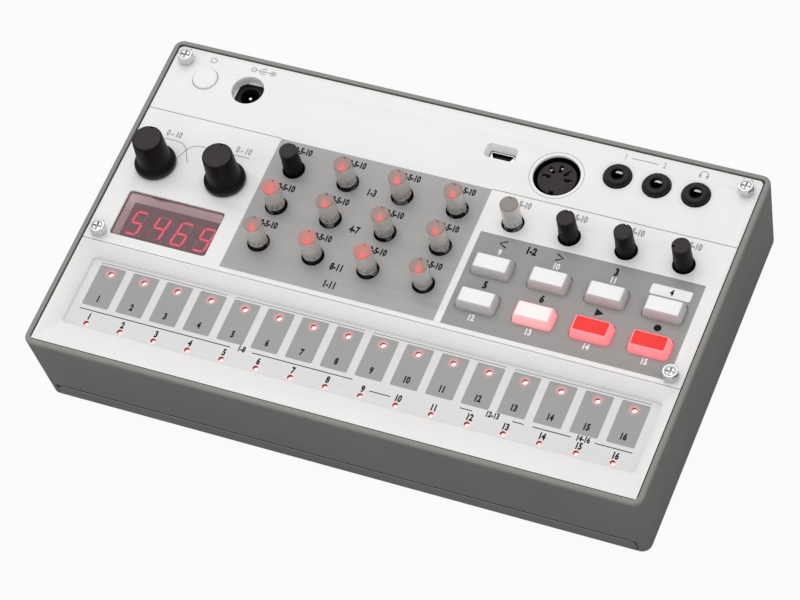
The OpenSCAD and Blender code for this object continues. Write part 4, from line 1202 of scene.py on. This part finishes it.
def small_knob_mesh(skin, side, crown):
    """A small knob about the Z axis, at its own heights: shaft, ribbed foot, smooth cap and crown."""
    shaft, foot, waist, peak = 21.4, PANEL_Z - 1.2, PANEL_Z + 4.4, KNOB_PEAK
    mould = Mould()
    mould.turn([
        (0.0, shaft), (2.0, shaft), (2.0, 26.9), (2.7, 26.9), (2.7, foot), (KNOB_R, foot),
        (KNOB_R, waist, 0.1), (2.83, waist + 0.15, 0.1), (2.76, peak, size_of("knob_edge")),
        (2.2, peak), (1.6, peak), (1.0, peak), (0.5, peak), (0.0, peak)], skin)
    mould.outward()
    rib = Mould()
    section = [(-0.2, -0.24), (0.0, -0.16), (0.12, -0.05), (0.12, 0.05), (0.0, 0.16), (-0.2, 0.24)]
    rib.prism(section, foot, waist, skin)
    mould.combine(repeated(rib, "Ribs", skin, Count=24, Radius=KNOB_R), "UNION")
    mould.cut((-0.35, 1.75, peak - 0.7), (0.35, 4.0, peak + 1.0))
    mould.repaint(side, lambda face: face.calc_center_median().z > waist + 0.1)
    mould.repaint(crown, lambda face: face.calc_center_median().z > peak - 0.75)
    mould.outward()
    return mould.mesh("small_knob")


def keep_glow(mesh, axis, spread):
    """Keeps how strongly the lamp lights each point of the top, as painted light: a spread, and a painted
    wedge of refracted light to the front, fixed on the knob.
    """
    glow = mesh.attributes.new("glow", "FLOAT", "POINT")
    for i, vertex in enumerate(mesh.vertices):
        if vertex.co.z > KNOB_PEAK - 0.8:
            spot = vertex.co.xy - axis
            along = spot.dot(GLOW_WAY)
            across = spot.dot(GLOW_WAY.orthogonal())
            start = min(1.0, max(0.0, 0.7 + along))
            wide = 0.5 + 0.25 * max(0.0, along)
            glow.data[i].value = spread + (0.8 - spread) * start * math.exp(-(across / wide) ** 2)


class SAMPLER_OT_small_knobs(bpy.types.Operator):
    """Sixteen small knobs, clear or black, with ribbed feet"""

    bl_idname = "sampler.small_knobs"
    bl_label = "Small knobs"

    def execute(self, context):
        for nodes, finishes, slot in (
            (LIT_KNOBS, ("frosted", "clear_side", "crown"), "knob_clear"),
            (UNLIT_KNOBS, ("foot_painted_lighter", "clear_side", "crown"), "knob_clear"),
            # The black knobs' tops get a lighter copy of their black: painted light.
            (BLACK_KNOBS, ("knob_dark", "knob_dark", "knob_painted_lighter"), "knob_black"),
        ):
            shape = small_knob_mesh(*finishes)
            for node in nodes:
                x, y = middle(node)
                turn = Matrix.Rotation(math.radians(KNOB_TURNS.get(node, 0)), 4, "Z")
                mesh = shape.copy()
                mesh.transform(Matrix.Translation((x, y, 0.0)) @ turn)
                if node in LIT_KNOBS:
                    keep_glow(mesh, Vector((x, y)), 0.35 if node in BRIGHT_KNOBS else 0.08)
                finished(mesh, node + "_cap", node, node, slot=slot)
            bpy.data.meshes.remove(shape)
        return {"FINISHED"}


class SAMPLER_OT_large_knobs(bpy.types.Operator):
    """Two large skirted knobs and their shafts"""

    bl_idname = "sampler.large_knobs"
    bl_label = "Large knobs"

    def execute(self, context):
        low, peak = PANEL_Z + 0.4, PANEL_Z + 13.4
        bore_r, bore_top, skirt_r = 3.05, peak - 2.4, 6.4

        def gets_painted_light(face):
            """True of the top and the skirt's outside, which get a lighter copy of the black as painted
            light.
            """
            spot = face.calc_center_median()
            return spot.z > peak - 0.25 or math.hypot(spot.x, spot.y) > skirt_r - 0.2

        for name in LARGE_KNOBS:
            mould = Mould()
            mould.turn([
                (bore_r, low), (skirt_r, low, 0.2), (skirt_r, low + 1.2, 0.2), (6.1, low + 1.5, 0.15),
                (5.1, low + 2.3, 0.35), (4.62, peak, 0.85), (3.4, peak), (0.0, peak), (0.0, bore_top),
                (bore_r, bore_top), (bore_r, low)], "knob_dark", steps=64, easing=6)
            mould.outward()
            mould.cut((-0.35, 3.5, peak - 0.7), (0.35, 6.0, peak + 1.0))
            mould.outward()
            mould.repaint("knob_painted_lighter", gets_painted_light)
            mesh = mould.mesh(name)
            mesh.transform(Matrix.Translation((*middle(name + "_shaft"), 0.0)))
            finished(mesh, name + "_knob_cap", name + "_control", name + "_knob", slot="knob_black")
            paint(name + "_shaft", "plated_steel")
        return {"FINISHED"}


class SAMPLER_OT_keys(bpy.types.Operator):
    """Eight rubber keys with printed tops"""

    bl_idname = "sampler.keys"
    bl_label = "Keys"

    def execute(self, context):
        # Height above the panel, inset and corner radius of each step up the key's side
        steps = (
            (-2.15, -0.2, 1.4), (-0.35, -0.2, 1.4), (0.0, 0.0, 1.2), (0.3, 0.0, 1.2), (0.8, 0.07, 1.15),
            (1.4, 0.2, 1.05), (2.0, 0.38, 0.9), (2.5, 0.58, 0.75), (2.82, 0.76, 0.6), (2.97, 0.9, 0.5))
        for node in BACK_KEYS + FRONT_KEYS:
            at = middle(node)
            rubber, cap = "key_rubber", "key_cap"
            if node in RED_KEYS:
                rubber, cap = "lit_key", "red_cap"
            elif node == "step_key":
                rubber, cap = "step_key_rubber", "step_cap"
            mould = Mould()
            mould.stack(
                [(rounded(KEY_W - 2 * inset, KEY_D - 2 * inset, r, at, 4), PANEL_Z + rise)
                 for rise, inset, r in steps], rubber)
            mould.prism(rounded(13.6, 8.2, 2.0, at, 4), FLANGE_LOW, FLANGE_TOP, rubber)
            mould.prism(rounded(4.0, 4.0, 0.2, at, 2), STEM_LOW, FLANGE_LOW + 0.05, rubber)
            mould.plate([rounded(9.95, 4.55, 0.35, at, 4)], PANEL_Z + 2.9, PANEL_Z + 3.0, cap, 0.03)
            mould.piece(
                node + "_top", node, node, smooth=28.0, slot="key_red" if node in RED_KEYS else "key_white")
        return {"FINISHED"}


class SAMPLER_OT_power_button(bpy.types.Operator):
    """Round power button"""

    bl_idname = "sampler.power_button"
    bl_label = "Power button"

    def execute(self, context):
        mould = Mould()
        mould.turn([
            (0.0, STEM_LOW), (1.6, STEM_LOW), (1.6, FLANGE_LOW), (4.65, FLANGE_LOW), (4.65, FLANGE_TOP),
            (3.85, FLANGE_TOP), (3.85, PANEL_Z + 0.6, 0.45), (0.0, PANEL_Z + 0.6)], "panel_white", POWER, 56)
        mould.piece("power_button_cap", "power_button", "power_button", slot="key_white")
        return {"FINISHED"}


class SAMPLER_OT_display(bpy.types.Operator):
    """Display window, the display module under it and its digits"""

    bl_idname = "sampler.display"
    bl_label = "Display"

    def execute(self, context):
        rim = PANEL_Z - 0.6
        glass = Mould()
        glass.stack([(rounded(width, depth, r, WINDOW), z) for width, depth, r, z in (
            (33.6, 18.1, 1.0, UNDER_Z - 1.0), (33.6, 18.1, 1.0, UNDER_Z), (31.4, 15.9, 1.0, UNDER_Z),
            (31.4, 15.9, 1.0, rim), (30.8, 15.3, 0.7, PANEL_Z - 0.5))], "window_body")
        glass.outward()
        # Painted shade: the bevel round the glass's top gets the module's dark finish, as a dark outline
        # where the gap to the panel lies in shade.
        glass.repaint("module_face", lambda face: face.calc_center_median().z > rim)
        glass.repaint("window_tint", lambda face: face.calc_center_median().z > rim and face.normal.z > 0.95)
        glass.piece("window_glass", "chassis", "display_window", smooth=15.0, slot="window_plastic")
        dressed("display_block", "chassis", "display_module", "module_face", "black_plastic", 0.25)

        low = top("display_module")
        high = low + 0.12
        digits = Mould()
        # Step between the two upright bars, between two level bars, between digits, and a bar's width
        across, half, pitch, stroke = 3.55, 4.025, 7.5, 0.66
        slant = math.tan(math.radians(8.0))
        places = {
            "a": (0.0, half, False), "g": (0.0, 0.0, False), "d": (0.0, -half, False),
            "f": (-across / 2, half / 2, True), "b": (across / 2, half / 2, True),
            "e": (-across / 2, -half / 2, True), "c": (across / 2, -half / 2, True),
        }
        for i, shown in enumerate(SHOWN):
            x0 = WINDOW[0] + (i - 1.5) * pitch
            for letter, (x, y, upended) in places.items():
                reach = ((half if upended else across) - 0.26) / 2
                side = stroke / 2
                tip = reach - side
                bar = [(-reach, 0.0), (-tip, -side), (tip, -side), (reach, 0.0), (tip, side), (-tip, side)]
                if upended:
                    bar = [(-v, u) for u, v in bar]
                bar = [(x0 + x + u + slant * (y + v), WINDOW[1] + y + v) for u, v in bar]
                lit = letter in SEGMENTS[shown]
                digits.prism(bar, low, high, "segment_lit" if lit else "segment_dark")
            dot = (x0 + 3.09 - slant * half, WINDOW[1] - half)
            digits.prism(ring(0.47, 16, dot), low, high, "segment_dark")
        digits.piece("digit_bars", "chassis", "display_digits", slot="lamp_red")
        return {"FINISHED"}


class SAMPLER_OT_sockets(bpy.types.Operator):
    """Power, data, five-pole and mini jack sockets"""

    bl_idname = "sampler.sockets"
    bl_label = "Sockets"

    def execute(self, context):
        self.jacks()
        self.five_pole()
        self.power()
        self.data()
        return {"FINISHED"}

    def jacks(self):
        """Three mini jacks, with a leaf spring at the back of each bore."""
        mould = Mould()
        shoulder, rim = PANEL_Z + 0.6, PANEL_Z + 1.4
        for x, y in JACKS:
            mould.prism(rounded(9.0, 11.0, 0.4, (x, y), 2), BOARD_Z, 29.3, "black")
            mould.turn([
                (1.8, 21.6), (4.2, 21.6), (4.2, shoulder, 0.3), (3.75, shoulder, 0.08), (3.75, rim, 0.6),
                (1.8, rim, size_of("ring_edge"))], "jack_black", (x, y), loop=True)
            leaf = (
                (y + 1.75, PANEL_Z + 0.2), (y + 1.75, PANEL_Z - 0.5), (y + 1.2, PANEL_Z - 0.5),
                (y + 1.2, PANEL_Z - 0.12))
            mould.loft([[(x + side, v, z) for v, z in leaf] for side in (-1.05, 1.05)], "plated_steel")
        mould.piece("jack_bushes", "chassis", "mini_jacks", slot="black_plastic")
        paint("jack_contacts", "plated_brass")

    def five_pole(self):
        """A round housing and a notched insert with five slots and poles."""
        floor, face, rim = BOARD_Z + 3.0, PANEL_Z - 1.5, PANEL_Z - 1.0
        housing = Mould()
        housing.turn([
            (0.0, BOARD_Z), (7.5, BOARD_Z), (7.5, rim, 0.1), (7.2, rim, 0.1), (7.2, floor), (0.0, floor)],
            "black", DIN, 64)
        housing.piece("din_ring", "chassis", "din_housing", slot="black_plastic")

        insert = Mould()
        insert_r, notch_x = 5.9, 0.75
        notch = math.degrees(math.asin(notch_x / insert_r))
        outline = ring(insert_r, 60, DIN, -90.0 + notch, 360.0 - 2 * notch)
        outline += [(DIN[0] - notch_x, DIN[1] - 4.7), (DIN[0] + notch_x, DIN[1] - 4.7)]
        slots = []
        for turn in range(-90, 91, 45):
            aim = Matrix.Rotation(math.radians(turn), 2)
            slot = rounded(1.1, 2.8, 0.5, (0.0, 3.45), 4)
            slots.append([Vector(DIN) + aim @ Vector(point) for point in slot])
            insert.turn(
                [(0.15, face - 3.0), (0.32, face - 3.0), (0.32, face - 0.9), (0.15, face - 0.9)],
                "plated_steel", Vector(DIN) + aim @ Vector((0.0, 4.2)), 16, loop=True)
        insert.plate([outline] + slots, floor, face, "din_grey", 0.12)
        insert.piece("din_face", "chassis", "din_insert", slot="black_plastic")

    def power(self):
        """The power socket's body and pin."""
        body = Mould()
        bore = ring(2.8, 40, DC)
        body.plate([dc_body(4.4), bore], BOARD_Z, top("dc_jack"), "black", 0.15)
        body.prism(bore, BOARD_Z, BOARD_Z + 1.4, "black")
        body.piece("dc_socket", "chassis", "dc_jack", slot="black_plastic")
        pin = Mould()
        pin.turn([(0.0, 21.0), (1.0, 21.0), (1.0, 26.2), (0.4, 27.1), (0.0, 27.1)], "plated_steel", DC, 24)
        pin.piece("dc_post", "chassis", "dc_pin", slot="bright_steel")

    def data(self):
        """The data socket's sleeve, with a tapered mouth, and its tongue."""
        shell_top, floor = top("usb_shell"), BOARD_Z + 0.35
        x0, y0 = USB
        shell = rounded(7.6, 2.7, 0.6, USB)
        mouth = [(x0 + (x - x0) * (0.78 if y < y0 else 1.0), y) for x, y in rounded(6.9, 2.0, 0.3, USB)]
        sleeve = Mould()
        sleeve.stack(
            [(shell, BOARD_Z), (shell, shell_top), (mouth, shell_top), (mouth, floor)], "plated_steel")
        sleeve.outward()
        sleeve.ease(0.08, lambda edge: min(v.co.z for v in edge.verts) > shell_top - 0.1)

        def within(face):
            """True of the walls inside the mouth, below its rim, which are painted black as shade."""
            spot = face.calc_center_median()
            return abs(spot.x - x0) < 3.6 and abs(spot.y - y0) < 1.15 and spot.z < shell_top - 0.15

        # Painted shade: the steel walls inside the mouth get the black finish.
        sleeve.repaint("black", within)
        sleeve.piece("usb_sleeve", "chassis", "usb_shell", slot="bright_steel")
        tongue = Mould()
        tongue.plate([rounded(4.8, 0.7, 0.1, USB, 2)], floor, top("usb_tongue"), "black", 0.05)
        tongue.piece("usb_blade", "chassis", "usb_tongue", slot="black_plastic")


def hexagon(radius, steps=24):
    """A hexagon as points at even turns."""
    points = []
    for i in range(steps):
        turn = 360.0 * i / steps
        reach = radius * math.cos(math.radians(30.0)) / math.cos(math.radians(turn % 60.0 - 30.0))
        points.append((reach * math.cos(math.radians(turn)), reach * math.sin(math.radians(turn))))
    return points


class SAMPLER_OT_screws(bpy.types.Operator):
    """Four bright hexagon-head screws with dished, crossed tops"""

    bl_idname = "sampler.screws"
    bl_label = "Panel screws"

    def execute(self, context):
        steel = "plated_steel"
        head_r, peak = 2.6, PANEL_Z + 3.2
        screw = Mould()
        levels = [
            (hexagon(0.97 * head_r), PANEL_Z), (hexagon(head_r), PANEL_Z + 0.1),
            (hexagon(head_r), peak - 0.35)]
        levels += [(ring(r, 24), peak - drop) for r, drop in (
            (2.22, 0.05), (2.1, 0.0), (1.82, 0.0), (1.7, 0.08), (1.25, 0.5))]
        screw.stack(levels, steel)
        screw.outward()
        for x, y in ((1.4, 0.33), (0.33, 1.4)):
            screw.cut((-x, -y, peak - 1.6), (x, y, peak + 1.0))
        shaft_r, tip, joint = 1.45, PANEL_Z - 9.0, PANEL_Z + 0.05
        screw.turn([(0.0, tip), (shaft_r, tip), (shaft_r, joint), (0.0, joint)], steel, steps=20)
        screws = repeated(
            screw, "Corners", steel, Width=2 * SCREWS_X, Depth=SCREWS_BACK - SCREWS_FRONT)
        screws.transform(Matrix.Translation((0.0, (SCREWS_BACK + SCREWS_FRONT) / 2, 0.0)))
        finished(screws, "screw_heads", "chassis", "panel_screws", smooth=30.0, slot="bright_steel")
        return {"FINISHED"}


class SAMPLER_OT_inside(bpy.types.Operator):
    """Finishes of the pieces inside the case, which keep their own shapes"""

    bl_idname = "sampler.inside"
    bl_label = "Inside"

    def execute(self, context):
        for finish, nodes in (
            ("board_lacquer", ("control_board", "keyboard_board")),
            ("black", ("small_pots", "key_switches")),
            ("plated_steel", (
                "large_pots", "battery_springs", "battery_contacts", "frame_screws", "board_screws")),
            ("lamp_lens", ("panel_lamps",)),
            ("ribbon", ("ribbon_cable",)),
        ):
            for node in nodes:
                paint(node, finish)
        return {"FINISHED"}


class SAMPLER_OT_stage(bpy.types.Operator):
    """Floor, lights, world and camera"""

    bl_idname = "sampler.stage"
    bl_label = "Stage"

    def execute(self, context):
        scene = context.scene
        scene.view_settings.view_transform = "Standard"
        floor = bpy.data.meshes.new("floor")
        corners = lifted(square(-FLOOR_REACH, -FLOOR_REACH, FLOOR_REACH, FLOOR_REACH), 0)
        floor.from_pydata(corners, [], [(0, 1, 2, 3)])
        floor.materials.append(finish_of("floor_white"))
        item = bpy.data.objects.new("floor", floor)
        scene.collection.objects.link(item)

        for name, at, size, power in LIGHTS:
            area = bpy.data.lights.new(name, "AREA")
            area.size = size
            area.energy = power
            lamp = bpy.data.objects.new(name, area)
            lamp.location = at
            lamp.rotation_euler = (-Vector(at)).to_track_quat("-Z", "Y").to_euler()
            scene.collection.objects.link(lamp)

        world = bpy.data.worlds.new("studio")
        world.use_nodes = True
        sky = world.node_tree.nodes["Background"].inputs
        sky["Color"].default_value = (1.0, 1.0, 1.0, 1.0)
        sky["Strength"].default_value = SKY
        scene.world = world

        camera = bpy.data.cameras.new("camera")
        camera.sensor_width = 36.0
        camera.lens = LENS
        camera.clip_end = 20.0
        view = bpy.data.objects.new("camera", camera)
        columns = (Vector(CAMERA_RIGHT), Vector(CAMERA_UP), -Vector(CAMERA_FORWARD))
        turn = Matrix([column.normalized() for column in columns]).transposed().to_4x4()
        view.matrix_world = Matrix.Translation(CAMERA_AT) @ turn
        scene.collection.objects.link(view)
        scene.camera = view
        return {"FINISHED"}


OPERATORS = (
    SAMPLER_OT_case, SAMPLER_OT_panel, SAMPLER_OT_print, SAMPLER_OT_keyboard, SAMPLER_OT_small_knobs,
    SAMPLER_OT_large_knobs, SAMPLER_OT_keys, SAMPLER_OT_power_button, SAMPLER_OT_display, SAMPLER_OT_sockets,
    SAMPLER_OT_screws, SAMPLER_OT_inside, SAMPLER_OT_stage,
)


class SAMPLER_PT_panel(bpy.types.Panel):
    """Lists the steps that build the sampler"""

    bl_idname = "SAMPLER_PT_panel"
    bl_label = "Sampler"
    bl_space_type = "VIEW_3D"
    bl_region_type = "UI"
    bl_category = "Sampler"

    def draw(self, context):
        for operator in OPERATORS:
            self.layout.operator(operator.bl_idname)
        for settings in (context.scene.sampler_colours, context.scene.sampler_sizes):
            for name in settings.__annotations__:
                self.layout.prop(settings, name)


CLASSES = (SamplerColours, SamplerSizes) + OPERATORS + (SAMPLER_PT_panel,)


def register():
    for item in CLASSES:
        bpy.utils.register_class(item)
    bpy.types.Scene.sampler_colours = PointerProperty(type=SamplerColours)
    bpy.types.Scene.sampler_sizes = PointerProperty(type=SamplerSizes)


def unregister():
    del bpy.types.Scene.sampler_sizes
    del bpy.types.Scene.sampler_colours
    for item in reversed(CLASSES):
        bpy.utils.unregister_class(item)


def main():
    register()
    for operator in OPERATORS:
        group, name = operator.bl_idname.split(".")
        getattr(getattr(bpy.ops, group), name)()


if __name__ == "__main__":
    main()
